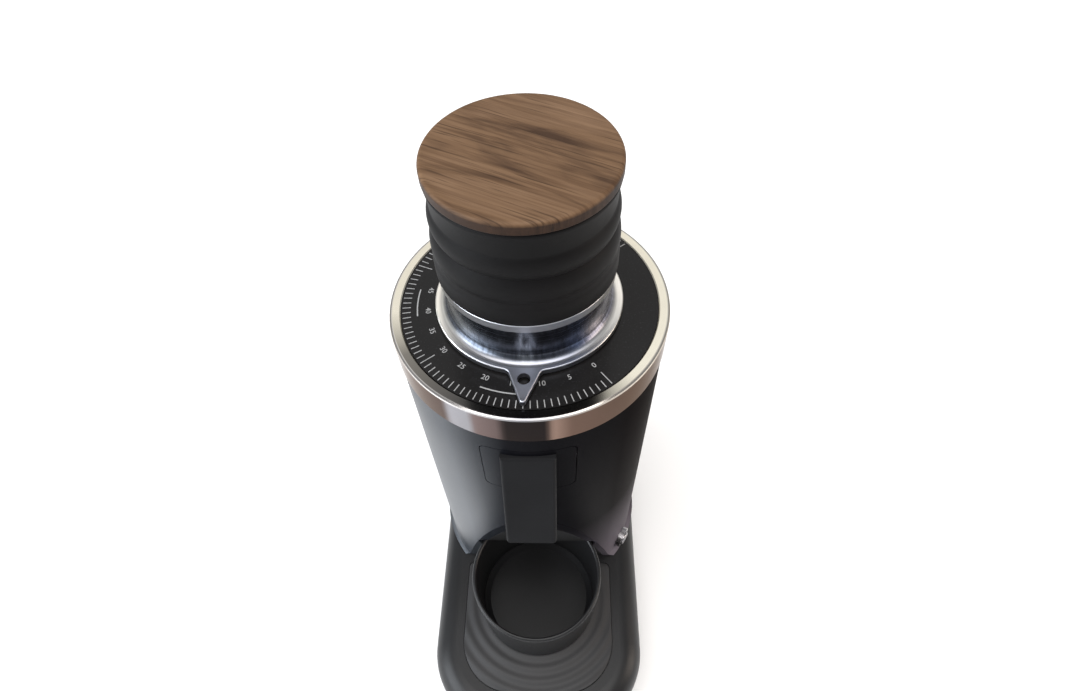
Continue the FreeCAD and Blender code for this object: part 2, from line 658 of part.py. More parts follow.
def bearing(z0):
    outer = tube(BEARING_RADIUS, BEARING_RADIUS - 3.0, z0, z0 + BEARING_WIDTH)
    inner = tube(SHAFT_RADIUS + 3.0, SHAFT_RADIUS + RUN_FIT / 2, z0, z0 + BEARING_WIDTH)
    shield = tube(BEARING_RADIUS - 2.5, SHAFT_RADIUS + 2.5, z0 + 1.0, z0 + BEARING_WIDTH - 1.0)
    return joined([outer, inner, shield])


def make_motor():
    top_low = FLANGE_LOW - CAP_THICK
    flange = cyl(MOTOR_FLANGE, FLANGE_LOW, CHAMBER_LOW)
    hub = cyl(BEARING_RADIUS + 4.0, top_low, FLANGE_LOW + 1.0)
    bore = MOTOR_RADIUS - MOTOR_WALL
    lip = tube(bore - CLOSE, bore - 3.0, FLANGE_LOW - 4.0, FLANGE_LOW + 1.0)
    cap = joined([flange, hub, lip])
    holes = [
        cyl(BEARING_RADIUS, top_low - 1.0, top_low + BEARING_WIDTH),
        cyl(SHAFT_RADIUS + 1.5, top_low, CHAMBER_LOW + 1.0),
    ]
    holes += [cyl(1.8, FLANGE_LOW - 1.0, CHAMBER_LOW + 1.0, x, y) for x, y in MOTOR_SCREW_PLACES]
    NODES["motor_cap_top"] = less(cap, holes)
    NODES["upper_bearing"] = bearing(top_low)
    screw_set("motor_screws", MOTOR_SCREW_PLACES, FLANGE_LOW, 3.0, CHAMBER_LOW + 3.8, 1.5, 2.7)

    can = tube(MOTOR_RADIUS, MOTOR_RADIUS - MOTOR_WALL, CAN_LOW, FLANGE_LOW)
    NODES["motor_can"] = can
    low_cap = cyl(MOTOR_RADIUS, CAN_LOW - CAP_THICK, CAN_LOW)
    bearing_low = CAN_LOW - BEARING_WIDTH
    holes = [
        cyl(BEARING_RADIUS, bearing_low, CAN_LOW + 1.0),
        cyl(SHAFT_RADIUS + 1.5, CAN_LOW - CAP_THICK - 1.0, CAN_LOW),
    ]
    holes += [cyl(3.5, CAN_LOW - CAP_THICK - 1.0, CAN_LOW + 1.0, x, y) for x, y in around(6, 25.0, 0.0)]
    NODES["motor_cap_bottom"] = less(low_cap, holes)
    NODES["lower_bearing"] = bearing(bearing_low)

    core_low = (CAN_LOW + top_low) / 2 - ROTOR_LENGTH / 2
    core_high = core_low + ROTOR_LENGTH
    bore = ROTOR_RADIUS + AIR_GAP
    core = tube(MOTOR_RADIUS - MOTOR_WALL, bore, core_low, core_high)
    slots = [box(bore - 1.0, bore + 5.0, -2.0, 2.0, core_low - 1.0, core_high + 1.0) for i in range(12)]
    for i, slot in enumerate(slots):
        slot.rotate(Vec(0, 0, 0), Vec(0, 0, 1), 30.0 * i)
        slot.translate(Vec(0, AXIS_Y, 0))
    core = less(core, slots)
    ends = [tube(MOTOR_RADIUS - 5.0, bore + 2.0, core_low - COIL_END, core_low + 0.5)]
    ends.append(tube(MOTOR_RADIUS - 5.0, bore + 2.0, core_high - 0.5, core_high + COIL_END))
    NODES["stator"] = joined([core] + ends)
    NODES["rotor"] = tube(ROTOR_RADIUS, SHAFT_RADIUS, core_low, core_high)


def make_fan():
    low = SPINDLE_LOW
    hub = tube(11.0, SHAFT_RADIUS, low, low + FAN_HEIGHT)
    disc = tube(FAN_RADIUS, SHAFT_RADIUS, low, low + 1.5)
    blades = []
    for i in range(FAN_BLADES):
        blade = box(10.0, FAN_RADIUS - 0.5, -0.8, 0.8, low + 1.0, low + FAN_HEIGHT)
        blade.rotate(Vec(0, 0, 0), Vec(0, 0, 1), 360.0 * i / FAN_BLADES)
        blade.translate(Vec(0, AXIS_Y, 0))
        blades.append(blade)
    NODES["fan"] = joined([hub, disc] + blades)


# Adjuster collar, bellows and lid


def at_pointer_root(spot):
    # the two upright edges where the pointer leaves the flange
    return spot.y < AXIS_Y - 30.0 and 3.0 < abs(spot.x) < 9.0


def make_collar():
    z0 = HEAD_TOP + FLANGE_LIFT
    z1 = z0 + FLANGE_THICK
    fillet_z = z1 + NECK_FILLET
    lip_low = HEAD_TOP + LIP_LOW
    lip_top = HEAD_TOP + LIP_TOP
    foot_z = CARRIER_TOP + RUN_FIT
    skirt = THREAD_RADIUS - RUN_FIT
    seat_r = BELLOWS_MOUTH + 0.35
    seat_z = lip_top - SPIGOT_DEPTH - 0.5
    bend = NECK_RADIUS + NECK_FILLET * (1.0 - math.sqrt(0.5))
    edges = Part.makePolygon([
        rz(NECK_RADIUS, fillet_z), rz(NECK_RADIUS, lip_low), rz(LIP_RADIUS - 0.4, lip_low),
        rz(LIP_RADIUS, lip_low + 0.4), rz(LIP_RADIUS, lip_top - 0.4), rz(LIP_RADIUS - 0.4, lip_top),
        rz(seat_r, lip_top), rz(seat_r, seat_z), rz(COLLAR_BORE, seat_z - 1.5),
        rz(COLLAR_BORE, z0 + 4.0), rz(COLLAR_THROAT, foot_z), rz(skirt, foot_z), rz(skirt, z0 + 0.5),
        rz(NECK_RADIUS + NECK_FILLET, z0 + 0.5), rz(NECK_RADIUS + NECK_FILLET, z1),
    ]).Edges
    mid = rz(bend, z1 + NECK_FILLET * (1.0 - math.sqrt(0.5)))
    edges.append(Part.Arc(rz(NECK_RADIUS + NECK_FILLET, z1), mid, rz(NECK_RADIUS, fillet_z)).toShape())
    collar = spun(edges)
    root = FLANGE_RADIUS - 3.0
    half = (POINTER_APEX - root) * POINTER_SLOPE
    corners = [Vec(-half, AXIS_Y - root, z0), Vec(0, AXIS_Y - POINTER_APEX, z0)]
    corners.append(Vec(half, AXIS_Y - root, z0))
    pointer = Part.Face(Part.makePolygon(corners + corners[:1])).extrude(Vec(0, 0, FLANGE_THICK))
    pointer = rounded(pointer, POINTER_TIP_ROUND, lambda spot: spot.y < AXIS_Y - POINTER_APEX + 1.0)
    plate = joined([cyl(FLANGE_RADIUS, z0, z1), pointer])
    plate = rounded(plate, POINTER_ROOT_ROUND, at_pointer_root)
    plate = round_top(plate, FLANGE_ROUND)
    plate = plate.cut(cyl(POINTER_HOLE, z0 - 1.0, z1 + 1.0, 0.0, AXIS_Y - POINTER_HOLE_AT))
    plate = plate.cut(cyl(skirt - 2.0, z0 - 1.0, z1 + 1.0))
    plate.rotate(Vec(0, AXIS_Y, 0), Vec(0, 0, 1), POINTER_TURN)
    collar = joined([collar, plate])
    NODES["adjuster_collar"] = collar


def wave(points):
    # arcs through every second point, from valley over crest to valley
    return [Part.Arc(*points[i:i + 3]).toShape() for i in range(0, len(points) - 2, 2)]


def bellows_side(inset):
    # crests and valleys as radius and height above the top of the head
    cuff = BELLOWS_CUFF - inset
    low = BELLOWS_VALLEY - inset
    foot = BELLOWS_SEAT + BELLOWS_FOOT
    middle = foot + BELLOWS_RIB_LOW
    neck = middle + BELLOWS_RIB_HIGH
    heights = [(cuff - 0.9, foot), (cuff - 0.1, foot + 0.4 * BELLOWS_RIB_LOW), (low, middle)]
    heights += [(low + 1.3, middle + 0.5 * BELLOWS_RIB_HIGH), (low, neck)]
    return [rz(r, HEAD_TOP + z) for r, z in heights]


def make_bellows():
    seat = HEAD_TOP + BELLOWS_SEAT
    top = HEAD_TOP + BELLOWS_TOP
    mouth_low = top - LID_SEAT_GAP - MOUTH_RING_HEIGHT - 0.4
    neck = HEAD_TOP + BELLOWS_SEAT + BELLOWS_FOOT + BELLOWS_RIB_LOW + BELLOWS_RIB_HIGH
    spigot = BELLOWS_MOUTH + 0.25
    outer = bellows_side(0.0)
    inner = bellows_side(BELLOWS_WALL)
    bore = spigot - BELLOWS_WALL
    up = Part.makePolygon([
        rz(bore, seat - SPIGOT_DEPTH), rz(spigot, seat - SPIGOT_DEPTH), rz(spigot, seat),
        rz(BELLOWS_CUFF - 0.5, seat), rz(BELLOWS_CUFF, seat + 0.5), rz(BELLOWS_CUFF, seat + 7.6), outer[0],
    ]).Edges
    rim = rz(LID_RADIUS - 0.3, top - 1.0)
    flare = Part.Arc(outer[-1], rz(BELLOWS_VALLEY + 0.2, neck + 0.5 * (top - neck)), rim).toShape()
    down = Part.makePolygon([
        rim, rz(LID_RADIUS - 0.8, top), rz(BELLOWS_MOUTH, top), rz(BELLOWS_MOUTH, mouth_low),
        inner[-1],
    ]).Edges
    home = Part.makePolygon([inner[0], rz(bore, seat + 4.0), rz(bore, seat - SPIGOT_DEPTH)]).Edges
    inside = wave(inner)[::-1]
    NODES["bellows"] = spun(up + wave(outer) + [flare] + down + inside + home)


def make_lid():
    low = HEAD_TOP + LID_TOP - LID_THICK
    wood = cyl(LID_RADIUS, low, low + LID_THICK)
    wood = round_top(wood, 1.5)
    under = [e for e in wood.Edges if e.BoundBox.ZMax < low + 0.001]
    wood = wood.makeFillet(0.8, under).cut(cyl(1.5, low - 1.0, low + 3.2))
    NODES["lid_wood"] = wood
    ring_r = BELLOWS_MOUTH - CLOSE
    ring_top = HEAD_TOP + BELLOWS_TOP - LID_SEAT_GAP
    NODES["mouth_ring"] = tube(ring_r, ring_r - 1.9, ring_top - MOUTH_RING_HEIGHT, ring_top)
    plug_r = ring_r - 1.9 - LOOSE
    plug = cyl(plug_r, low - 6.0, low - CLOSE)
    hollow = tube(plug_r - 1.8, 5.0, low - 7.0, low - 2.2)
    NODES["lid_plug"] = plug.cut(hollow).cut(cyl(1.7, low - 7.0, low + 1.0))
    screw_set("lid_screw", [(0.0, AXIS_Y)], low - 6.0, 1.6, low + 3.0, 1.5, 3.0)


# Chute


def chute_outline(inset, top, bottom):
    # outer face leans out towards the outlet
    run = (CHUTE_PROUD_LOW - CHUTE_PROUD_TOP) / (CHUTE_BOTTOM - CHUTE_TOP)
    face = TUBE_RADIUS + CHUTE_PROUD_TOP - inset
    upper = face + (HEAD_TOP - CHUTE_TOP - top) * run
    lower = face + (HEAD_TOP - CHUTE_TOP - bottom) * run
    return [(TUBE_RADIUS - 8.0, top), (upper, top), (lower, bottom), (TUBE_RADIUS - 8.0, bottom)]


def make_chute():
    top = HEAD_TOP - CHUTE_TOP
    bottom = HEAD_TOP - CHUTE_BOTTOM
    block = side_prism(chute_outline(0.0, top, bottom), CHUTE_HALF)
    feet = [e for e in block.Edges if e.BoundBox.ZMax < bottom + 0.001 and e.BoundBox.YLength > 1.0]
    block = block.makeFillet(CHUTE_FOOT_ROUND, feet)
    front_y = AXIS_Y - TUBE_RADIUS - CHUTE_PROUD_TOP + 0.01
    edges = [e for e in block.Edges if e.BoundBox.YMax < front_y and e.BoundBox.ZMax > bottom + 1.0]
    block = block.makeFillet(CHUTE_ROUND, edges)
    core = side_prism(chute_outline(CHUTE_WALL, top - 8.0, bottom - 5.0), PORT_HALF + 0.5)
    boss_z = (CHUTE_SCREW_Z - 4.0, CHUTE_SCREW_Z + 4.0)
    y0 = AXIS_Y - TUBE_RADIUS - 5.5
    bosses = [box(4.4, CHUTE_HALF - 1.0, y0, AXIS_Y - TUBE_INNER + 2.0, *boss_z)]
    bosses.append(box(1.0 - CHUTE_HALF, -4.4, y0, AXIS_Y - TUBE_INNER + 2.0, *boss_z))
    cover = joined([block.cut(core)] + bosses)
    holes = [cyl(TUBE_RADIUS + CLOSE, bottom - 10.0, top + 10.0)]
    holes += [chute_screw_rod(side, 1.2, TUBE_INNER - 2.0, TUBE_RADIUS + 4.5) for side in (-1, 1)]
    NODES["chute_cover"] = less(cover, holes)
    screws = []
    for side in (-1, 1):
        inner = math.sqrt(TUBE_INNER ** 2 - (CHUTE_SCREW_X + 2.3) ** 2)
        head = chute_screw_rod(side, 2.3, inner - 1.7, inner - CLOSE)
        screws.append(head.fuse(chute_screw_rod(side, 1.2, inner - 0.5, TUBE_RADIUS + 4.0)))
    NODES["chute_screws"] = Part.makeCompound(screws)


def make_chute_panel():
    panel = panel_space(0.0, CHAMBER_RADIUS + 0.2, TUBE_RADIUS)
    lip = PORT_LOW - 7.0
    near = TUBE_INNER - 7.0
    far = TUBE_RADIUS + 1.0
    trough = [(near, PORT_LOW), (far, lip), (far, PORT_TOP), (near, PORT_TOP)]
    panel = panel.cut(side_prism(trough, PORT_HALF))
    NODES["chute_panel"] = panel.cut(flap_space(0.0, FLAP_THICK + CLOSE))
    flap = flap_space(CLOSE, FLAP_THICK)
    slits = []
    for i in range(5):
        x = (i - 2) * 3.2
        slits.append(box(x - 0.3, x + 0.3, *FLAP_Y, PORT_LOW + 0.5, PORT_TOP - 2.0))
    NODES["declumper_flap"] = less(flap, slits)


def flap_space(gap, depth):
    r0 = CHAMBER_RADIUS + 0.2
    z0 = PORT_LOW - 2.5 + gap
    z1 = PORT_TOP + 2.5 - gap
    ring = tube(r0 + depth, r0 - CLOSE + gap, z0, z1)
    return ring.common(box(gap - FLAP_HALF, FLAP_HALF - gap, *FLAP_Y, z0, z1))


# Dosing cup


def make_cup():
    body_r = CUP_MOUTH + CUP_WALL
    foot_r = body_r - CUP_TAPER
    low = MAT_TOP + CLOSE
    rim = CUP_RIM_Z
    inner_r = CUP_MOUTH
    floor = low + 2.2
    edges = Part.makePolygon([
        rz(0, low), rz(foot_r - 2.5, low), rz(foot_r, low + 2.5), rz(body_r, rim - 6.5),
        rz(CUP_RADIUS - 0.8, rim - 5.2), rz(CUP_RADIUS, rim - 4.2), rz(CUP_RADIUS, rim - 1.2),
    ]).Edges
    crest = rz(CUP_RADIUS - 0.36, rim - 0.36)
    crown = Part.Arc(rz(CUP_RADIUS, rim - 1.2), crest, rz(CUP_RADIUS - 1.2, rim)).toShape()
    back = Part.makePolygon([
        rz(CUP_RADIUS - 1.2, rim), rz(inner_r + 0.6, rim), rz(inner_r, rim - 0.6),
        rz(inner_r - CUP_TAPER, floor + 3.0), rz(inner_r - CUP_TAPER - 3.0, floor), rz(0, floor),
        rz(0, low),
    ]).Edges
    NODES["dosing_cup"] = spun(edges + [crown] + back, 0.0, CUP_Y)


# Switch, inlet and board


def make_switch():
    collar_r = BUTTON_RADIUS + 1.3
    head = switch_rod(BEZEL_RADIUS, -0.6 + CLOSE, BEZEL_PROUD)
    bezel = joined([head, switch_rod(collar_r, SWITCH_NUT - 4.0, 0.0)])
    NODES["switch_bezel"] = bezel.cut(switch_rod(BUTTON_RADIUS + LOOSE, SWITCH_NUT - 5.0, 10.0))
    stem = switch_rod(BUTTON_RADIUS, SWITCH_NUT - 1.0, BUTTON_PROUD)
    tip = SWITCH_FACE + SWITCH_WAY * BUTTON_PROUD
    crown = [e for e in stem.Edges if e.BoundBox.Center.distanceToPoint(tip) < 0.1]
    NODES["switch_button"] = stem.makeFillet(1.0, crown)
    body = switch_rod(collar_r + 0.8, -SWITCH_DEPTH, SWITCH_NUT - 4.0 - CLOSE)
    tail = switch_rod(1.0, -SWITCH_DEPTH - 4.0, -SWITCH_DEPTH + 1.0)
    NODES["switch_body"] = joined([body, tail])


def inlet_block(rim, y0, y1):
    half = INLET_HALF + rim
    tall = INLET_HEIGHT / 2 + rim
    return box(-half, half, y0, y1, INLET_MID_Z - tall, INLET_MID_Z + tall)


def make_inlet():
    back = BASE_DEPTH / 2
    flange = inlet_block(INLET_RIM, back - INLET_FLANGE + CLOSE, back)
    body = inlet_block(INLET_WALL, back - INLET_DEPTH - 3.0, back - 0.5)
    socket = inlet_block(0.0, back - INLET_DEPTH, back + 1.0)
    posts = [e for e in socket.Edges if e.BoundBox.YLength > 1.0 and e.CenterOfMass.z > INLET_MID_Z]
    socket = socket.makeChamfer(4.0, posts)
    pins = []
    for x, dz in ((-7.0, -2.0), (0.0, 2.0), (7.0, -2.0)):
        z = INLET_MID_Z + dz
        pins.append(box(x - 1.0, x + 1.0, back - INLET_DEPTH - 8.0, back - 6.0, z - 2.0, z + 2.0))
    NODES["power_inlet"] = less(joined([flange, body]).cut(socket), pins)
    NODES["inlet_pins"] = Part.makeCompound(pins)


def make_board():
    low = FOOT_HEIGHT + PLATE_THICK
    z = low + 9.0
    sheet = box(-BOARD_HALF, BOARD_HALF, BOARD_BACK - BOARD_DEPTH, BOARD_BACK, z, z + 1.6)
    solids = [sheet]
    for x in (-BOARD_HALF + 4.0, BOARD_HALF - 4.0):
        for y in (BOARD_BACK - 4.0, BOARD_BACK - BOARD_DEPTH + 4.0):
            solids.append(cyl(3.0, low, z + 0.5, x, y))
    solids.append(box(-24.0, -8.0, 0.0, 30.0, z + 1.0, z + 18.0))
    solids.append(cyl(9.0, z + 1.0, z + 24.0, 14.0, 40.0))
    solids.append(box(4.0, 24.0, 5.0, 20.0, z + 1.0, z + 13.0))
    solids.append(box(-24.0, 24.0, -14.0, -6.0, z + 1.0, z + 10.0))
    NODES["control_board"] = joined(solids)


make_base_shell()
make_base_plate()
make_feet()
make_cup_mat()
make_body_tube()
make_tube_screws()
make_bay_liner()
make_trim_ring()
make_dial_plate()
make_thread_ring()
make_chamber()
make_upper_carrier()
make_springs()
make_burrs()
make_lower_carrier()
make_carrier_nut()
make_spindle()
make_motor()
make_fan()
make_collar()
make_bellows()
make_lid()
make_chute()
make_chute_panel()
make_cup()
make_switch()
make_inlet()
make_board()

for node, shape in NODES.items():
    shape.exportStep("parts/%s.step" % node)
    size = shape.BoundBox
    print(node, len(shape.Solids), shape.isValid(), round(shape.Volume), round(size.ZMax, 2))
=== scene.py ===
import json
import math

import bmesh
import bpy
from mathutils import Matrix, Vector


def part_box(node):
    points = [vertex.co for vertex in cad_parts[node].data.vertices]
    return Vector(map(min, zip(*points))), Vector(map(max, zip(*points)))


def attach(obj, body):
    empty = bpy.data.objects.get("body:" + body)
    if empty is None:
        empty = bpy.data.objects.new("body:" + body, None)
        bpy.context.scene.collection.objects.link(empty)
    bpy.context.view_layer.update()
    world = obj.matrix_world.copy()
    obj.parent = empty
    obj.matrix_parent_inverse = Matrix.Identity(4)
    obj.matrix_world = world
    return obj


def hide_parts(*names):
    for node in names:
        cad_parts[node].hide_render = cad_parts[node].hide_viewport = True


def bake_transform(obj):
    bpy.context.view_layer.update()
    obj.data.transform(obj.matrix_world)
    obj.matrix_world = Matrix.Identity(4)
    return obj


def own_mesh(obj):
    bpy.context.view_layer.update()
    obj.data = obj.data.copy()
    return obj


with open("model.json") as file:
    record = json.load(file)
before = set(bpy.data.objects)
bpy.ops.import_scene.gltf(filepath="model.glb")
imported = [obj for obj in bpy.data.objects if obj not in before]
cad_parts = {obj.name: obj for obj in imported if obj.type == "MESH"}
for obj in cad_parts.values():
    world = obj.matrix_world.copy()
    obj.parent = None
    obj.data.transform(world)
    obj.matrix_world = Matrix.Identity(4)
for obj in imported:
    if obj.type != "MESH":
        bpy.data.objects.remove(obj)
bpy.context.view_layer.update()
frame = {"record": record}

# Camera of the photograph, in metres and degrees
CAM_PLACE = (0.01224, -0.14290, 0.43071)
CAM_AZIMUTH = 3.0
CAM_ELEVATION = 53.4
CAM_ROLL = -2.34
CAM_LENS = 21.83

# Places read from the frame
RING_LOW, RING_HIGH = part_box("trim_ring")
AXIS = Vector(((RING_LOW[0] + RING_HIGH[0]) / 2, (RING_LOW[1] + RING_HIGH[1]) / 2, 0.0))
DIAL_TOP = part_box("dial_plate")[1][2]
DIAL_RADIUS = (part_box("dial_plate")[1][0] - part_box("dial_plate")[0][0]) / 2
HEAD_TOP = RING_HIGH[2]
RING_RADIUS = (RING_HIGH[0] - RING_LOW[0]) / 2
COLUMN_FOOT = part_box("body_tube")[0][2]
# Height up to which the painted light patch on the column's lower right fades out
PAINTED_GLOW_TOP = COLUMN_FOOT + 0.08
CUP_LOW, CUP_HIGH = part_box("dosing_cup")
CUP_AXIS = ((CUP_LOW[0] + CUP_HIGH[0]) / 2, (CUP_LOW[1] + CUP_HIGH[1]) / 2)

# Dial scale
UNIT_TURN = math.radians(3.0)
ZERO_TURN = math.radians(38.0)
UNITS = 90
LONG_UNITS = (0, 30, 50, 90)
TICK_OUT = DIAL_RADIUS - 0.0006
TICK_SHORT = 0.0032
TICK_LONG = 0.0062
TICK_WIDTH = 0.00034
NUMBER_STEP = 5
NUMBER_RADIUS = 0.0398
NUMBER_SIZE = 0.0030
ZONES = ((12, 20), (39, 45))
ZONE_RADIUS = 0.0440
ZONE_WIDTH = 0.0005
INK_THICK = 0.00004

# Carrier springs
SPRING_WIRE = 0.0008
SPRING_TURNS = 6
SPRING_STEPS = 24
WIRE_SIDES = 8

# Bellows: heights above its seat, and steps in radius
SOFT_GAP = 0.0001
CUFF_END = 0.0070
FOLD_1, FOLD_2, FOLD_3 = 0.0102, 0.0206, 0.0298
BULGE_1, BULGE_2, BULGE_3 = 0.0142, 0.0252, 0.0346
FOLD_IN = 0.0009
WAIST_IN = 0.0020
BULGE_OUT = 0.0013
BELLOWS_WALL = 0.0015

# Cup mat
MAT_FRONT_CORNER = 0.0267
MAT_BACK_CORNER = 0.0030
MAT_BACK = 0.0410
MAT_EDGE = 0.0007
MAT_STEPS = 240
RIB_PITCH = 0.006

# Finishes, and the spans of painted reflections, highlights and shade
GRAIN_TURN = math.radians(-26)
TURNING_SCALE = 5200.0
LID_ROUND = 0.0016
# Trim ring: width and soft edge of the painted rim highlight, and the drop from the top to where the painted
# side reflections give way to the face
RIM_HIGHLIGHT_WIDTH, RIM_HIGHLIGHT_SOFT, RIM_DROP = 0.0014, 0.0003, 0.0010
COLLAR_HEIGHT = 0.026
# Radii of the collar's flange, over which its painted reflection rings run
FLANGE_SPAN = (0.031, 0.037)
# Heights below the head's top over which the column's painted sheen fades, as painted shade under the ring
SHADE_LOW, SHADE_HIGH = 0.110, 0.025
FLOOR_HALF = 6.0


def grey(spot, level):
    """A ramp stop of one level."""
    return spot, (level,) * 3


# Painted reflections, highlights and sheen, by turn about the axis: 0 and 1 behind, 0.25 left, 0.5 in front,
# 0.75 right
# Painted reflections round the trim ring's side
RING_SIDE_REFLECTIONS = (
    (0.0, (0.40, 0.36, 0.32)),
    (0.30, (0.10, 0.08, 0.075)),
    (0.408, (0.09, 0.073, 0.073)),
    (0.416, (0.34, 0.35, 0.39)),
    (0.438, (0.30, 0.31, 0.34)),
    (0.446, (0.16, 0.125, 0.125)),
    (0.470, (0.11, 0.085, 0.085)),
    (0.478, (0.010, 0.011, 0.014)),
    (0.522, (0.009, 0.010, 0.013)),
    (0.529, (0.24, 0.165, 0.135)),
    (0.548, (0.115, 0.076, 0.062)),
    (0.60, (0.09, 0.062, 0.052)),
    (0.68, (0.07, 0.044, 0.027)),
    (1.0, (0.40, 0.36, 0.32)),
)
# Painted reflections round the trim ring's top face
RING_FACE_REFLECTIONS = (
    (0.0, (0.80, 0.75, 0.62)),
    (0.27, (0.88, 0.83, 0.70)),
    (0.335, (0.24, 0.225, 0.20)),
    (0.42, (0.12, 0.115, 0.11)),
    (0.50, (0.06, 0.06, 0.065)),
    (0.57, (0.12, 0.115, 0.11)),
    (0.63, (0.95, 0.90, 0.76)),
    (1.0, (0.80, 0.75, 0.62)),
)
# Painted highlight round the trim ring's rim edge
RING_EDGE_HIGHLIGHT = (
    (0.28, (0.70, 0.67, 0.62)),
    (0.42, (0.50, 0.48, 0.47)),
    (0.50, (0.22, 0.22, 0.24)),
    (0.58, (0.46, 0.42, 0.38)),
    (0.72, (0.70, 0.66, 0.58)),
)
# Painted reflections round the collar's flange
FLANGE_REFLECTIONS = (
    (0.0, (0.80, 0.77, 0.70)),
    (0.28, (1.0, 0.96, 0.87)),
    (0.40, (0.44, 0.445, 0.47)),
    (0.50, (0.38, 0.39, 0.44)),
    (0.58, (0.35, 0.37, 0.43)),
    (0.66, (0.60, 0.59, 0.57)),
    (0.76, (1.0, 0.96, 0.88)),
    (1.0, (0.80, 0.77, 0.70)),
)
# Painted reflections round the collar's neck
NECK_REFLECTIONS = (
    (0.0, (0.16, 0.16, 0.17)),
    (0.30, (0.12, 0.13, 0.155)),
    (0.40, (0.11, 0.13, 0.165)),
    (0.465, (0.095, 0.105, 0.13)),
    (0.482, (0.085, 0.093, 0.115)),
    (0.492, (0.24, 0.26, 0.30)),
    (0.508, (0.22, 0.24, 0.28)),
    (0.518, (0.085, 0.093, 0.115)),
    (0.57, (0.085, 0.095, 0.13)),
    (0.60, (0.14, 0.18, 0.30)),
    (0.63, (0.20, 0.205, 0.26)),
    (0.75, (0.30, 0.30, 0.35)),
    (1.0, (0.16, 0.16, 0.17)),
)
# Painted reflection tones round the column
COLUMN_REFLECTIONS = (
    (0.0, (0.008, 0.008, 0.009)),
    (0.25, (0.014, 0.015, 0.018)),
    (0.40, (0.019, 0.023, 0.030)),
    (0.48, (0.005, 0.005, 0.0065)),
    (0.60, (0.0045, 0.004, 0.0045)),
    (0.70, (0.007, 0.0042, 0.0032)),
    (1.0, (0.008, 0.008, 0.009)),
)
# Painted sheen round the column: the strength of its reflection
COLUMN_PAINTED_SHEEN = (
    grey(0.0, 0.35),
    grey(0.25, 0.53),
    grey(0.398, 0.64),
    grey(0.438, 0.16),
    grey(0.475, 0.03),
    grey(0.62, 0.003),
    grey(0.74, 0.002),
    grey(1.0, 0.35),
)


# Materials


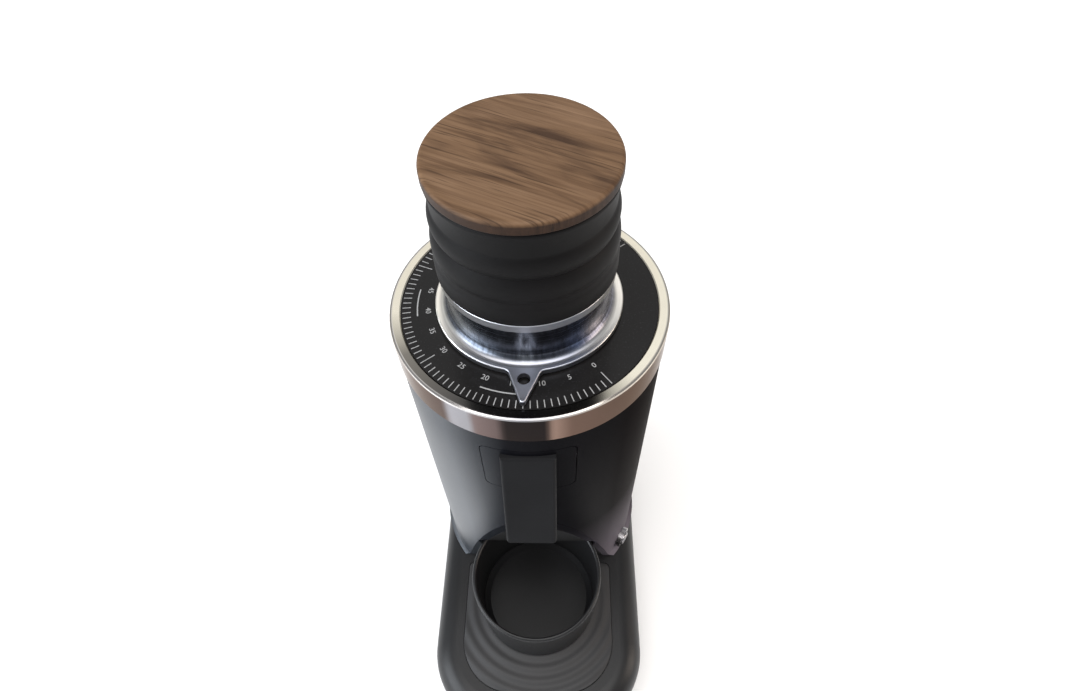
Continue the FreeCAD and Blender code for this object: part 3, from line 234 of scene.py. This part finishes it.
class Look:
    """A node material with small helpers for its graph."""

    def __init__(self, name):
        self.material = bpy.data.materials.new(name)
        self.material.use_nodes = True
        self.nodes = self.material.node_tree.nodes
        self.links = self.material.node_tree.links
        self.shader = self.nodes["Principled BSDF"]
        self.place = self.add("ShaderNodeTexCoord").outputs["Object"]

    def add(self, kind, **settings):
        node = self.nodes.new(kind)
        for key, value in settings.items():
            setattr(node, key, value)
        return node

    def set(self, **values):
        for key, value in values.items():
            self.shader.inputs[key.replace("_", " ")].default_value = value
        return self

    def join(self, source, target):
        self.links.new(source, target)

    def shifted(self, scale=(1, 1, 1), turn=0.0, move=(0, 0, 0)):
        node = self.add("ShaderNodeMapping")
        node.inputs["Scale"].default_value = scale
        node.inputs["Rotation"].default_value = (0, 0, turn)
        node.inputs["Location"].default_value = move
        self.join(self.place, node.inputs["Vector"])
        return node.outputs["Vector"]

    def noise(self, scale, detail=3.0, rough=0.5, warp=0.0, vector=None):
        node = self.add("ShaderNodeTexNoise")
        node.inputs["Scale"].default_value = scale
        node.inputs["Detail"].default_value = detail
        node.inputs["Roughness"].default_value = rough
        node.inputs["Distortion"].default_value = warp
        self.join(vector or self.place, node.inputs["Vector"])
        return node.outputs["Fac"]

    def ramp(self, source, *stops):
        node = self.add("ShaderNodeValToRGB")
        band = node.color_ramp.elements
        while len(band) < len(stops):
            band.new(0.5)
        for element, (spot, colour) in zip(band, stops):
            element.position = spot
            element.color = (*colour, 1.0)
        self.join(source, node.inputs["Fac"])
        return node.outputs["Color"]

    def span(self, source, low, high, start=0.0, end=1.0):
        node = self.add("ShaderNodeMapRange")
        node.inputs["From Min"].default_value = start
        node.inputs["From Max"].default_value = end
        node.inputs["To Min"].default_value = low
        node.inputs["To Max"].default_value = high
        self.join(source, node.inputs["Value"])
        return node.outputs["Result"]

    def mixed(self, share, first, second, blend="MIX"):
        node = self.add("ShaderNodeMix", data_type="RGBA", blend_type=blend)
        for socket, value in ((node.inputs[0], share), (node.inputs[6], first), (node.inputs[7], second)):
            if isinstance(value, (float, tuple)):
                socket.default_value = value
            else:
                self.join(value, socket)
        return node.outputs[2]

    def sums(self, operation, first, second):
        node = self.add("ShaderNodeMath", operation=operation)
        for socket, value in zip(node.inputs, (first, second)):
            if isinstance(value, float):
                socket.default_value = value
            else:
                self.join(value, socket)
        return node.outputs["Value"]

    def colour(self, source):
        self.join(source, self.shader.inputs["Base Color"])

    def roughness(self, source):
        self.join(source, self.shader.inputs["Roughness"])

    def bump(self, source, strength, distance):
        node = self.add("ShaderNodeBump")
        node.inputs["Strength"].default_value = strength
        node.inputs["Distance"].default_value = distance
        self.join(source, node.inputs["Height"])
        self.join(node.outputs["Normal"], self.shader.inputs["Normal"])

    # Used for real smudges, turning lines and mottling, and also for painted reflection streaks on the
    # collar neck
    def worn(self, share, tone, source, *stops):
        """A tone multiplied, by a share, with a ramp of some pattern."""
        return self.mixed(share, tone, self.ramp(source, *stops), "MULTIPLY")

    def noise_over(self, across, along, scale, detail, rough):
        """Noise that depends on two values only."""
        node = self.add("ShaderNodeCombineXYZ")
        self.join(across, node.inputs["X"])
        self.join(along, node.inputs["Y"])
        return self.noise(scale, detail, rough, 0.0, node.outputs[0])

    def grained(self, turn, stretch):
        """Coordinates drawn out along a level direction."""
        node = self.add("ShaderNodeMapping", vector_type="TEXTURE")
        node.inputs["Scale"].default_value = (stretch, 1.0, stretch / 4)
        node.inputs["Rotation"].default_value = (0, 0, turn)
        self.join(self.place, node.inputs["Vector"])
        return node.outputs["Vector"]

    def round_axis(self):
        """Turn about the column's axis, from 0 to 1 with 0.5 in front, and the height."""
        parts = self.add("ShaderNodeSeparateXYZ")
        self.join(self.shifted(move=(-AXIS.x, -AXIS.y, 0)), parts.inputs[0])
        front = self.sums("MULTIPLY", parts.outputs["Y"], -1.0)
        turn = self.sums("ARCTAN2", parts.outputs["X"], front)
        return self.span(turn, 0.0, 1.0, -math.pi, math.pi), parts.outputs["Z"]

    def radius(self, centre):
        """Distance from a vertical line through centre, and the height."""
        parts = self.add("ShaderNodeSeparateXYZ")
        self.join(self.shifted(move=(-centre[0], -centre[1], 0)), parts.inputs[0])
        flat = self.add("ShaderNodeCombineXYZ")
        self.join(parts.outputs["X"], flat.inputs["X"])
        self.join(parts.outputs["Y"], flat.inputs["Y"])
        length = self.add("ShaderNodeVectorMath", operation="LENGTH")
        self.join(flat.outputs[0], length.inputs[0])
        return length.outputs["Value"], parts.outputs["Z"]


def walnut():
    look = Look("walnut")
    along = look.grained(GRAIN_TURN, 6.0)
    fine = look.grained(GRAIN_TURN, 34.0)
    figure = look.noise(64.0, 4.0, 0.55, 1.6, along)
    streaks = look.noise(620.0, 4.0, 0.65, 0.3, fine)
    pores = look.noise(1500.0, 2.0, 0.5, 0.0, fine)
    tone = look.ramp(
        figure, (0.33, (0.066, 0.035, 0.019)), (0.48, (0.150, 0.086, 0.046)), (0.70, (0.196, 0.118, 0.068)))
    shade = look.ramp(streaks, (0.34, (0.52, 0.47, 0.44)), grey(0.60, 1.0))
    tone = look.mixed(0.75, tone, shade, "MULTIPLY")
    dots = look.ramp(pores, (0.30, (0.30, 0.27, 0.25)), grey(0.40, 1.0))
    tone = look.mixed(0.7, tone, dots, "MULTIPLY")
    # The lid's side, below the rounded top edge, is darker
    parts = look.add("ShaderNodeSeparateXYZ")
    look.join(look.place, parts.inputs[0])
    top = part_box("lid_wood")[1][2]
    edge = look.span(parts.outputs["Z"], 0.0, 1.0, top - LID_ROUND, top - LID_ROUND / 4)
    look.colour(look.worn(1.0, tone, edge, (0.0, (0.18, 0.14, 0.12)), grey(1.0, 1.0)))
    look.roughness(look.span(streaks, 0.62, 0.46))
    look.bump(look.sums("MULTIPLY", streaks, pores), 0.25, 0.0002)
    look.set(Specular_IOR_Level=0.16)
    return look.material


def silicone(name, level):
    look = Look(name)
    cloud = look.noise(45.0, 3.0, 0.6)
    grain = look.noise(2600.0, 2.0, 0.6)
    dark, light = (level, level * 0.93, level), (level * 1.5, level * 1.35, level * 1.45)
    look.colour(look.ramp(cloud, (0.3, dark), (0.7, light)))
    look.roughness(look.span(cloud, 0.50, 0.64))
    look.bump(grain, 0.12, 0.0001)
    look.set(Specular_IOR_Level=0.10)
    return look.material


def ribbed_mat():
    look = Look("ribbed_mat")
    away = look.radius(CUP_AXIS)[0]
    waves = look.sums("SINE", look.sums("MULTIPLY", away, 2 * math.pi / RIB_PITCH), 0.0)
    cloud = look.noise(45.0, 3.0, 0.6)
    look.colour(look.ramp(cloud, (0.3, (0.010, 0.010, 0.011)), (0.7, (0.017, 0.016, 0.017))))
    look.roughness(look.span(cloud, 0.55, 0.70))
    look.bump(waves, 0.5, 0.0005)
    return look.material


def turned_metal(name, tint, smooth, centre):
    look = Look(name)
    away, height = look.radius(centre)
    lines = look.noise_over(away, height, TURNING_SCALE, 2.0, 0.6)
    smear = look.noise(60.0, 3.0, 0.5)
    look.colour(look.worn(0.35, tint, lines, (0.3, (0.62, 0.62, 0.63)), grey(0.7, 1.0)))
    wide = look.span(smear, smooth - 0.04, smooth + 0.06)
    look.roughness(look.sums("ADD", look.span(lines, -0.06, 0.06), wide))
    look.bump(lines, 0.10, 0.00006)
    look.set(Metallic=1.0, Anisotropic=0.5)
    return look.material


def polished(name, tint, smooth):
    look = Look(name)
    smear = look.noise(75.0, 4.0, 0.6, 0.4)
    specks = look.noise(900.0, 2.0, 0.5)
    look.colour(look.worn(0.25, tint, smear, (0.35, (0.80, 0.78, 0.76)), grey(0.65, 1.0)))
    look.roughness(look.span(smear, smooth, smooth + 0.08))
    look.bump(specks, 0.02, 0.00005)
    look.set(Metallic=1.0)
    return look.material


def ring_chrome():
    """Polished metal with painted reflections: its tone changes round the ring as a painted reflection of a
    dim room, with a painted highlight on the rim edge.
    """
    look = Look("ring_chrome")
    turn, height = look.round_axis()
    away = look.radius(AXIS)[0]
    smear = look.noise(75.0, 4.0, 0.6, 0.4)
    # Painted reflections by turn round the side and the top face, and a painted highlight on the rim edge
    side = look.ramp(turn, *RING_SIDE_REFLECTIONS)
    face = look.ramp(turn, *RING_FACE_REFLECTIONS)
    rim = look.span(away, 0.0, 1.0, RING_RADIUS - RIM_HIGHLIGHT_WIDTH, RING_RADIUS - RIM_HIGHLIGHT_WIDTH + RIM_HIGHLIGHT_SOFT)
    edge = look.ramp(turn, *RING_EDGE_HIGHLIGHT)
    face = look.mixed(rim, face, edge)
    above = look.span(height, 0.0, 1.0, HEAD_TOP - RIM_DROP, HEAD_TOP - RIM_DROP + 0.0002)
    bands = look.mixed(above, side, face)
    look.colour(look.worn(0.2, bands, smear, (0.35, (0.75, 0.73, 0.71)), grey(0.65, 1.0)))
    look.roughness(look.span(smear, 0.12, 0.20))
    look.bump(look.noise(900.0, 2.0, 0.5), 0.02, 0.00005)
    look.set(Metallic=1.0, Specular_Tint=(0.66, 0.60, 0.56, 1.0))
    return look.material


def collar_metal():
    """Turned metal with painted reflections: a satin flange with painted reflection rings, a bright-turned
    neck made darker by painted reflections and painted reflection streaks, and painted highlight lines at
    the lip.
    """
    look = Look("collar_metal")
    turn, place_z = look.round_axis()
    height = look.span(place_z, 0.0, 1.0, HEAD_TOP, HEAD_TOP + COLLAR_HEIGHT)
    # Painted reflections by turn round the flange and the neck, with painted reflection streaks on the neck
    flange = look.ramp(turn, *FLANGE_REFLECTIONS)
    neck = look.ramp(turn, *NECK_REFLECTIONS)
    streaks = look.noise_over(turn, place_z, 150.0, 4.0, 0.6)
    neck = look.worn(0.8, neck, streaks, grey(0.36, 0.30), grey(0.62, 1.0))
    away, level = look.radius(AXIS)
    reach = look.span(away, 0.0, 1.0, *FLANGE_SPAN)
    foot = look.ramp(reach, grey(0.20, 1.0), grey(0.36, 0.45), grey(0.42, 0.0))
    wall = look.ramp(height, grey(0.772, 1.0), grey(0.786, 0.15))
    share = look.mixed(look.span(height, 0.0, 1.0, 0.29, 0.31), foot, wall)
    # Painted highlight rings and darker reflection rings across the flange, strongest in front
    steps = look.ramp(
        reach, grey(0.36, 0.8), grey(0.45, 0.8), grey(0.51, 0.7), grey(0.522, 0.25), grey(0.540, 0.25),
        grey(0.556, 0.40), grey(0.69, 0.50), grey(0.71, 1.0))
    front = look.ramp(turn, grey(0.30, 0.1), grey(0.43, 1.0), grey(0.57, 1.0), grey(0.68, 0.1))
    flange = look.mixed(front, flange, steps, "MULTIPLY")
    body = look.mixed(share, flange, neck)
    # Painted highlight lines, bluish white, at two heights near the top of the collar
    lines = look.ramp(
        height, grey(0.764, 0.0), grey(0.776, 0.9), grey(0.796, 0.1), grey(0.910, 0.0), grey(0.925, 0.8))
    look.colour(look.mixed(lines, body, (0.93, 0.95, 1.0, 1.0)))
    cuts = look.noise_over(away, level, TURNING_SCALE, 2.0, 0.6)
    look.roughness(look.sums("ADD", look.span(cuts, -0.05, 0.05), look.span(share, 0.34, 0.26)))
    look.bump(cuts, 0.08, 0.00005)
    look.set(Metallic=1.0, Anisotropic=0.3)
    return look.material


def powder_coat(name, level, smooth, shine=0.3):
    look = Look(name)
    cloud = look.noise(28.0, 3.0, 0.5)
    peel = look.noise(1700.0, 2.0, 0.55)
    dark, light = (level, level, level * 1.06), (level * 1.25, level * 1.25, level * 1.35)
    look.colour(look.ramp(cloud, (0.3, dark), (0.7, light)))
    wide = look.span(cloud, smooth - 0.03, smooth + 0.03)
    look.roughness(look.sums("ADD", wide, look.span(peel, -0.03, 0.03)))
    look.bump(peel, 0.10, 0.00008)
    look.set(Specular_IOR_Level=shine)
    return look.material


def column_paint():
    """Matt black paint with painted reflections: its tone and sheen change round the column as a painted
    reflection of a dim room, with a painted light patch low on the right and painted shade that lowers the
    sheen near the top.
    """
    look = Look("column_paint")
    turn, height = look.round_axis()
    cloud = look.noise(28.0, 3.0, 0.5)
    peel = look.noise(1700.0, 2.0, 0.55)
    # Painted reflection of a dim room: tone by turn round the column
    tone = look.ramp(turn, *COLUMN_REFLECTIONS)
    # Painted light patch, lighter, low on the right side and fading out upwards
    right = look.ramp(turn, grey(0.53, 0.0), grey(0.63, 1.0), grey(0.70, 0.8), grey(0.78, 0.0))
    low = look.span(height, 1.0, 0.0, COLUMN_FOOT, PAINTED_GLOW_TOP)
    tone = look.mixed(look.sums("MULTIPLY", right, low), tone, (0.150, 0.134, 0.155, 1.0))
    look.colour(look.worn(0.5, tone, cloud, grey(0.3, 0.75), grey(0.7, 1.0)))
    # Painted sheen: reflection strength by turn round the column, lowered near the top as painted shade
    # under the ring
    sheen = look.ramp(turn, *COLUMN_PAINTED_SHEEN)
    shade = look.span(height, 1.0, 0.35, HEAD_TOP - SHADE_LOW, HEAD_TOP - SHADE_HIGH)
    look.join(look.sums("MULTIPLY", sheen, shade), look.shader.inputs["Specular IOR Level"])
    look.roughness(look.sums("ADD", look.span(cloud, 0.34, 0.40), look.span(peel, -0.03, 0.03)))
    look.bump(peel, 0.10, 0.00008)
    look.set(Specular_Tint=(0.84, 0.91, 1.0, 1.0))
    return look.material


def moulded(name, level, smooth):
    look = Look(name)
    cloud = look.noise(50.0, 2.0, 0.5)
    spark = look.noise(3200.0, 2.0, 0.6)
    dark, light = (level, level, level), (level * 1.3, level * 1.3, level * 1.33)
    look.colour(look.ramp(cloud, (0.3, dark), (0.7, light)))
    look.roughness(look.span(spark, smooth - 0.06, smooth + 0.06))
    look.bump(spark, 0.15, 0.00008)
    look.set(Specular_IOR_Level=0.2)
    return look.material


def gloss_plate():
    look = Look("gloss_plate")
    dust = look.noise(1300.0, 2.0, 0.6)
    smear = look.noise(38.0, 3.0, 0.6)
    look.colour(look.ramp(dust, (0.60, (0.010, 0.0095, 0.0095)), (0.80, (0.030, 0.030, 0.032))))
    look.roughness(look.span(smear, 0.16, 0.27))
    look.set(Specular_IOR_Level=0.18)
    return look.material


def ink(name, level):
    look = Look(name)
    wear = look.noise(1100.0, 3.0, 0.6)
    look.colour(look.ramp(wear, (0.25, (level * 0.72,) * 3), (0.55, (level,) * 3)))
    look.roughness(look.span(wear, 0.38, 0.55))
    return look.material


def tinted(name, dark, light, metal, smooth):
    look = Look(name)
    cloud = look.noise(140.0, 4.0, 0.6)
    look.colour(look.ramp(cloud, (0.3, dark), (0.7, light)))
    look.roughness(look.span(cloud, smooth - 0.05, smooth + 0.08))
    look.bump(look.noise(1500.0, 2.0, 0.5), 0.08, 0.00006)
    look.set(Metallic=metal)
    return look.material


def floor_look():
    look = Look("floor")
    cloud = look.noise(3.0, 3.0, 0.5)
    look.colour(look.ramp(cloud, grey(0.3, 0.86), grey(0.7, 0.89)))
    look.roughness(look.span(cloud, 0.55, 0.65))
    return look.material


LOOKS = {
    "walnut": walnut(),
    "silicone": silicone("silicone", 0.0030),
    "satin_aluminium": turned_metal("satin_aluminium", (0.80, 0.80, 0.82, 1.0), 0.24, AXIS),
    "gloss_black": gloss_plate(),
    "chrome": polished("chrome", (0.86, 0.84, 0.81, 1.0), 0.10),
    "black_paint": powder_coat("black_paint", 0.010, 0.36, 0.25),
    "black_plastic": moulded("black_plastic", 0.014, 0.5),
    "steel": turned_metal("steel", (0.60, 0.60, 0.61, 1.0), 0.28, AXIS),
    "plate_steel": powder_coat("plate_steel", 0.05, 0.45),
    "foot_rubber": silicone("foot_rubber", 0.008),
    "motor_paint": powder_coat("motor_paint", 0.10, 0.4),
    "stator_iron": tinted("stator_iron", (0.20, 0.09, 0.04), (0.36, 0.18, 0.08), 0.7, 0.4),
    "board_green": tinted("board_green", (0.010, 0.06, 0.025), (0.02, 0.10, 0.045), 0.0, 0.4),
    "pin_brass": tinted("pin_brass", (0.55, 0.42, 0.18), (0.70, 0.55, 0.25), 1.0, 0.25),
}


def dress(name, look):
    """Gives a CAD node its material."""
    thing = bpy.data.objects[name]
    thing.data.materials.clear()
    thing.data.materials.append(look)


for entry in frame["record"]["subparts"]:
    dress(entry["node"], LOOKS[entry["material_slot"]])
dress("trim_ring", ring_chrome())
dress("adjuster_collar", collar_metal())
switch_metal = polished("switch_metal", (0.30, 0.29, 0.30, 1.0), 0.24)
for name in ("switch_bezel", "switch_button"):
    dress(name, switch_metal)
column = column_paint()
for name in ("body_tube", "chute_panel"):
    dress(name, column)
dress("chute_cover", powder_coat("chute_paint", 0.0115, 0.38, 0.012))


# Dial print


def mesh_piece(name, mesh, look, body):
    piece = bpy.data.objects.new(name, mesh)
    bpy.context.scene.collection.objects.link(piece)
    mesh.materials.append(look)
    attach(piece, body)
    return piece


def flat_mesh(work, name):
    mesh = bpy.data.meshes.new(name)
    work.to_mesh(mesh)
    work.free()
    return mesh


def smooth_mesh(work, name, sharp):
    """A smooth-shaded mesh with creases over some angle in degrees."""
    mesh = flat_mesh(work, name)
    mesh.shade_smooth()
    mesh.set_sharp_from_angle(angle=math.radians(sharp))
    return mesh


def dial_way(unit):
    """Outward direction of a scale unit."""
    turn = ZERO_TURN - unit * UNIT_TURN
    return Vector((math.sin(turn), -math.cos(turn), 0.0))


def add_bar(work, start, end, width):
    """A flat bar of ink from start to end."""
    side = (end - start).normalized().cross(Vector((0, 0, 1))) * (width / 2)
    lift = Vector((0, 0, INK_THICK))
    low = [work.verts.new(p) for p in (start - side, start + side, end + side, end - side)]
    high = [work.verts.new(v.co + lift) for v in low]
    work.faces.new(high)
    for i in range(4):
        j = (i + 1) % 4
        work.faces.new((low[i], low[j], high[j], high[i]))


def dial_ticks():
    work = bmesh.new()
    centre = Vector((AXIS.x, AXIS.y, DIAL_TOP))
    for unit in range(UNITS + 1):
        length = TICK_LONG if unit in LONG_UNITS else TICK_SHORT
        way = dial_way(unit)
        add_bar(work, centre + way * (TICK_OUT - length), centre + way * TICK_OUT, TICK_WIDTH)
    return flat_mesh(work, "dial_ticks")


def zone_arcs():
    work = bmesh.new()
    centre = Vector((AXIS.x, AXIS.y, DIAL_TOP))
    for first, last in ZONES:
        for unit in range(first, last):
            a = centre + dial_way(unit) * ZONE_RADIUS
            b = centre + dial_way(unit + 1) * ZONE_RADIUS
            add_bar(work, a, b, ZONE_WIDTH)
    return flat_mesh(work, "zone_arcs")


def number_mesh(value):
    text = bpy.data.curves.new("number", "FONT")
    text.body = str(value)
    text.size = NUMBER_SIZE
    text.align_x = "CENTER"
    text.align_y = "CENTER"
    text.extrude = INK_THICK / 2
    maker = bpy.data.objects.new("number", text)
    bpy.context.scene.collection.objects.link(maker)
    mesh = bpy.data.meshes.new_from_object(maker.evaluated_get(bpy.context.evaluated_depsgraph_get()))
    bpy.data.objects.remove(maker)
    bpy.data.curves.remove(text)
    way = dial_way(value)
    spot = Vector((AXIS.x, AXIS.y, DIAL_TOP + INK_THICK / 2)) + way * NUMBER_RADIUS
    mesh.transform(Matrix.Translation(spot) @ Matrix.Rotation(ZERO_TURN - value * UNIT_TURN, 4, "Z"))
    mesh.name = "dial_number_%02d" % value
    return mesh


white_ink = ink("white_ink", 0.34)
mesh_piece("dial_ticks", dial_ticks(), white_ink, "housing")
mesh_piece("zone_arcs", zone_arcs(), white_ink, "housing")
for value in range(0, UNITS + 1, NUMBER_STEP):
    mesh_piece("dial_number_%02d" % value, number_mesh(value), white_ink, "housing")


# Soft pieces


def arc_points(start, middle, end, count):
    """Points on the circle through three points, from start to end."""
    (ax, ay), (bx, by), (cx, cy) = start, middle, end
    d = 2 * (ax * (by - cy) + bx * (cy - ay) + cx * (ay - by))
    sa, sb, sc = ax * ax + ay * ay, bx * bx + by * by, cx * cx + cy * cy
    ux = (sa * (by - cy) + sb * (cy - ay) + sc * (ay - by)) / d
    uy = (sa * (cx - bx) + sb * (ax - cx) + sc * (bx - ax)) / d
    size = math.hypot(ax - ux, ay - uy)
    first = math.atan2(ay - uy, ax - ux)
    sweep = (math.atan2(cy - uy, cx - ux) - first + math.pi) % (2 * math.pi) - math.pi
    turns = [first + sweep * i / count for i in range(count + 1)]
    return [(ux + size * math.cos(t), uy + size * math.sin(t)) for t in turns]


def spun_mesh(name, profile, centre, steps, sharp):
    """A closed profile of radius and height, turned about an upright axis."""
    work = bmesh.new()
    rows = []
    for i in range(steps):
        turn = 2 * math.pi * i / steps
        c, d = math.cos(turn), math.sin(turn)
        rows.append([work.verts.new((centre[0] + r * c, centre[1] + r * d, z)) for r, z in profile])
    for i in range(steps):
        near, far = rows[i], rows[(i + 1) % steps]
        for k in range(len(profile)):
            m = (k + 1) % len(profile)
            work.faces.new((near[k], far[k], far[m], near[m]))
    bmesh.ops.recalc_face_normals(work, faces=work.faces)
    return smooth_mesh(work, name, sharp)


def bellows_seat():
    """Height of the collar's lip, on which the cuff sits."""
    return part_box("adjuster_collar")[1][2] + SOFT_GAP


def half_width(name):
    low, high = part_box(name)
    return (high[0] - low[0]) / 2


def bellows_profile():
    """Radius and height round the wall: up the outside, then down the inside."""
    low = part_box("bellows")[0]
    cuff = half_width("bellows")
    seat = bellows_seat()
    mouth = half_width("mouth_ring") + SOFT_GAP
    rim = half_width("lid_wood") - 0.0003
    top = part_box("lid_wood")[0][2] - 0.0002
    waist = cuff - WAIST_IN
    wall = BELLOWS_WALL
    fold_1, bulge_1 = (cuff - FOLD_IN, seat + FOLD_1), (cuff - 0.0001, seat + BULGE_1)
    fold_2, bulge_2 = (waist, seat + FOLD_2), (waist + BULGE_OUT, seat + BULGE_2)
    fold_3, bulge_3 = (waist, seat + FOLD_3), (waist + 0.0002, seat + BULGE_3)
    outer = [(mouth + 0.00025, low[2]), (mouth + 0.00025, seat)]
    outer += [(cuff - 0.0005, seat), (cuff - 0.00015, seat + 0.00015)]
    outer += [(cuff, seat + 0.0005), (cuff, seat + CUFF_END), (cuff - 0.0003, seat + 0.0080)]
    outer += arc_points(fold_1, bulge_1, fold_2, 14)
    outer += arc_points(fold_2, bulge_2, fold_3, 14)[1:]
    outer += arc_points(fold_3, bulge_3, (rim, top - 0.0010), 12)[1:]
    outer += [(rim - 0.00015, top - 0.0003), (rim - 0.0005, top), (mouth, top), (mouth, seat + 0.0308)]
    bulge_in = (waist + BULGE_OUT - wall, seat + BULGE_2)
    inner = arc_points((waist - wall, seat + FOLD_3), bulge_in, (waist - wall, seat + FOLD_2), 10)
    bulge_in, fold_in = (cuff - wall, seat + BULGE_1), (cuff - FOLD_IN - wall, seat + FOLD_1)
    inner += arc_points((waist - wall, seat + FOLD_2), bulge_in, fold_in, 10)[1:]
    return outer + inner + [(mouth - 0.0016, seat + 0.0040), (mouth - 0.0016, low[2])]


def soft_bellows():
    mesh = spun_mesh("bellows_soft", bellows_profile(), AXIS, 160, 38)
    piece = mesh_piece("bellows_soft", mesh, LOOKS["silicone"], "adjuster")
    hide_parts("bellows")
    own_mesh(piece)


def mat_reach(turn, low, high, disc):
    """Distance from the cup axis to the mat's outline in one direction."""
    c, d = math.cos(turn), math.sin(turn)
    corner = MAT_FRONT_CORNER if d < 0 else MAT_BACK_CORNER
    near, far = 0.0, 0.12
    for _ in range(40):
        mid = (near + far) / 2
        x = abs(mid * c)
        y = CUP_AXIS[1] + mid * d
        dx = max(x - (high[0] - corner), 0.0)
        dy = max(low[1] + corner - y, 0.0) if d < 0 else max(y - (disc[1] - corner), 0.0)
        inside = x <= high[0] and low[1] <= y <= disc[1] and math.hypot(dx, dy) <= corner
        near, far = (mid, far) if inside else (near, mid)
    return max(near, disc[0])


def soft_mat():
    low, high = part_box("cup_mat")
    disc = (high[1] - CUP_AXIS[1], AXIS.y - MAT_BACK)
    work = bmesh.new()
    steps = MAT_STEPS
    edge = MAT_EDGE
    levels = [(0.0, low[2]), (0.0, high[2] - edge), (edge * 0.3, high[2] - edge * 0.3), (edge, high[2])]
    rings = []
    for inset, z in levels:
        ring = []
        for i in range(steps):
            turn = 2 * math.pi * i / steps
            away = mat_reach(turn, low, high, disc) - inset
            x, y = CUP_AXIS[0] + away * math.cos(turn), CUP_AXIS[1] + away * math.sin(turn)
            ring.append(work.verts.new((x, y, z)))
        rings.append(ring)
    for near, far in zip(rings, rings[1:]):
        for i in range(steps):
            j = (i + 1) % steps
            work.faces.new((near[i], near[j], far[j], far[i]))
    work.faces.new(rings[-1])
    work.faces.new(rings[0][::-1])
    mesh = smooth_mesh(work, "mat_soft", 30)
    piece = mesh_piece("mat_soft", mesh, ribbed_mat(), "housing")
    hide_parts("cup_mat")


def soft_spring(name):
    """A coil spring between the chamber and the burr carrier."""
    low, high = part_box(name)
    cx, cy = (low[0] + high[0]) / 2, (low[1] + high[1]) / 2
    wire = SPRING_WIRE / 2
    coil = (high[0] - low[0]) / 2 - wire
    rise = high[2] - low[2] - 2 * wire
    work = bmesh.new()
    rows = []
    for i in range(SPRING_TURNS * SPRING_STEPS + 1):
        turn = 2 * math.pi * i / SPRING_STEPS
        z = low[2] + wire + rise * i / (SPRING_TURNS * SPRING_STEPS)
        row = []
        for k in range(WIRE_SIDES):
            side = 2 * math.pi * k / WIRE_SIDES
            away = coil + wire * math.cos(side)
            x, y = cx + away * math.cos(turn), cy + away * math.sin(turn)
            row.append(work.verts.new((x, y, z + wire * math.sin(side))))
        rows.append(row)
    for near, far in zip(rows, rows[1:]):
        for k in range(WIRE_SIDES):
            m = (k + 1) % WIRE_SIDES
            work.faces.new((near[k], near[m], far[m], far[k]))
    work.faces.new(rows[0])
    work.faces.new(rows[-1][::-1])
    bmesh.ops.recalc_face_normals(work, faces=work.faces)
    mesh = smooth_mesh(work, name + "_soft", 60)
    mesh.materials.append(LOOKS["steel"])
    piece = bpy.data.objects.new(name + "_soft", mesh)
    bpy.context.scene.collection.objects.link(piece)
    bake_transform(piece)
    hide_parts(name)


soft_bellows()
soft_mat()
for number in (1, 2, 3):
    soft_spring("carrier_spring_%d" % number)


# Stage, light and camera


def stage_floor():
    mesh = bpy.data.meshes.new("floor")
    half = FLOOR_HALF
    corners = [(-half, -half, 0), (half, -half, 0), (half, half, 0), (-half, half, 0)]
    mesh.from_pydata(corners, [], [(0, 1, 2, 3)])
    floor = bpy.data.objects.new("floor", mesh)
    bpy.context.scene.collection.objects.link(floor)
    mesh.materials.append(floor_look())


def soft_box(name, place, aim, width, height, power, tint):
    data = bpy.data.lights.new(name, "AREA")
    data.shape = "RECTANGLE"
    data.size = width
    data.size_y = height
    data.energy = power
    data.color = tint
    lamp = bpy.data.objects.new(name, data)
    lamp.location = place
    lamp.rotation_euler = (Vector(aim) - Vector(place)).to_track_quat("-Z", "Y").to_euler()
    bpy.context.scene.collection.objects.link(lamp)


def photo_camera():
    a, e, r = (math.radians(v) for v in (CAM_AZIMUTH, CAM_ELEVATION, CAM_ROLL))
    back = Vector((math.sin(a) * math.cos(e), -math.cos(a) * math.cos(e), math.sin(e)))
    right = Vector((math.cos(a), math.sin(a), 0.0))
    up = back.cross(right)
    across = right * math.cos(r) + up * math.sin(r)
    above = up * math.cos(r) - right * math.sin(r)
    data = bpy.data.cameras.new("camera")
    data.sensor_fit = "HORIZONTAL"
    data.sensor_width = 36.0
    data.lens = CAM_LENS
    data.clip_start = 0.01
    data.dof.use_dof = False
    camera = bpy.data.objects.new("camera", data)
    camera.matrix_world = Matrix.Translation(CAM_PLACE) @ Matrix((across, above, back)).transposed().to_4x4()
    bpy.context.scene.collection.objects.link(camera)
    bpy.context.scene.camera = camera


def studio():
    world = bpy.data.worlds.new("studio")
    world.use_nodes = True
    sky = world.node_tree.nodes["Background"]
    sky.inputs["Color"].default_value = (0.95, 0.97, 1.0, 1.0)
    sky.inputs["Strength"].default_value = 0.40
    bpy.context.scene.world = world
    middle = (0.0, 0.02, 0.18)
    soft_box("window_left", (-1.0, -0.45, 0.60), middle, 0.8, 1.0, 18.0, (0.90, 0.95, 1.0))
    soft_box("warm_right", (1.1, -0.1, 0.45), middle, 0.4, 0.8, 5.0, (1.0, 0.86, 0.74))
    soft_box("back", (0.1, 1.25, 1.35), middle, 1.8, 1.2, 4.0, (1.0, 0.98, 0.95))
    sun = bpy.data.lights.new("top", "SUN")
    sun.energy = 2.45
    sun.angle = math.radians(50)
    sun.color = (1.0, 0.98, 0.96)
    lamp = bpy.data.objects.new("top", sun)
    lamp.rotation_euler = (math.radians(14), 0.0, 0.0)
    bpy.context.scene.collection.objects.link(lamp)
    bpy.context.scene.view_settings.view_transform = "Standard"
    bpy.context.scene.view_settings.look = "None"


stage_floor()
studio()
photo_camera()
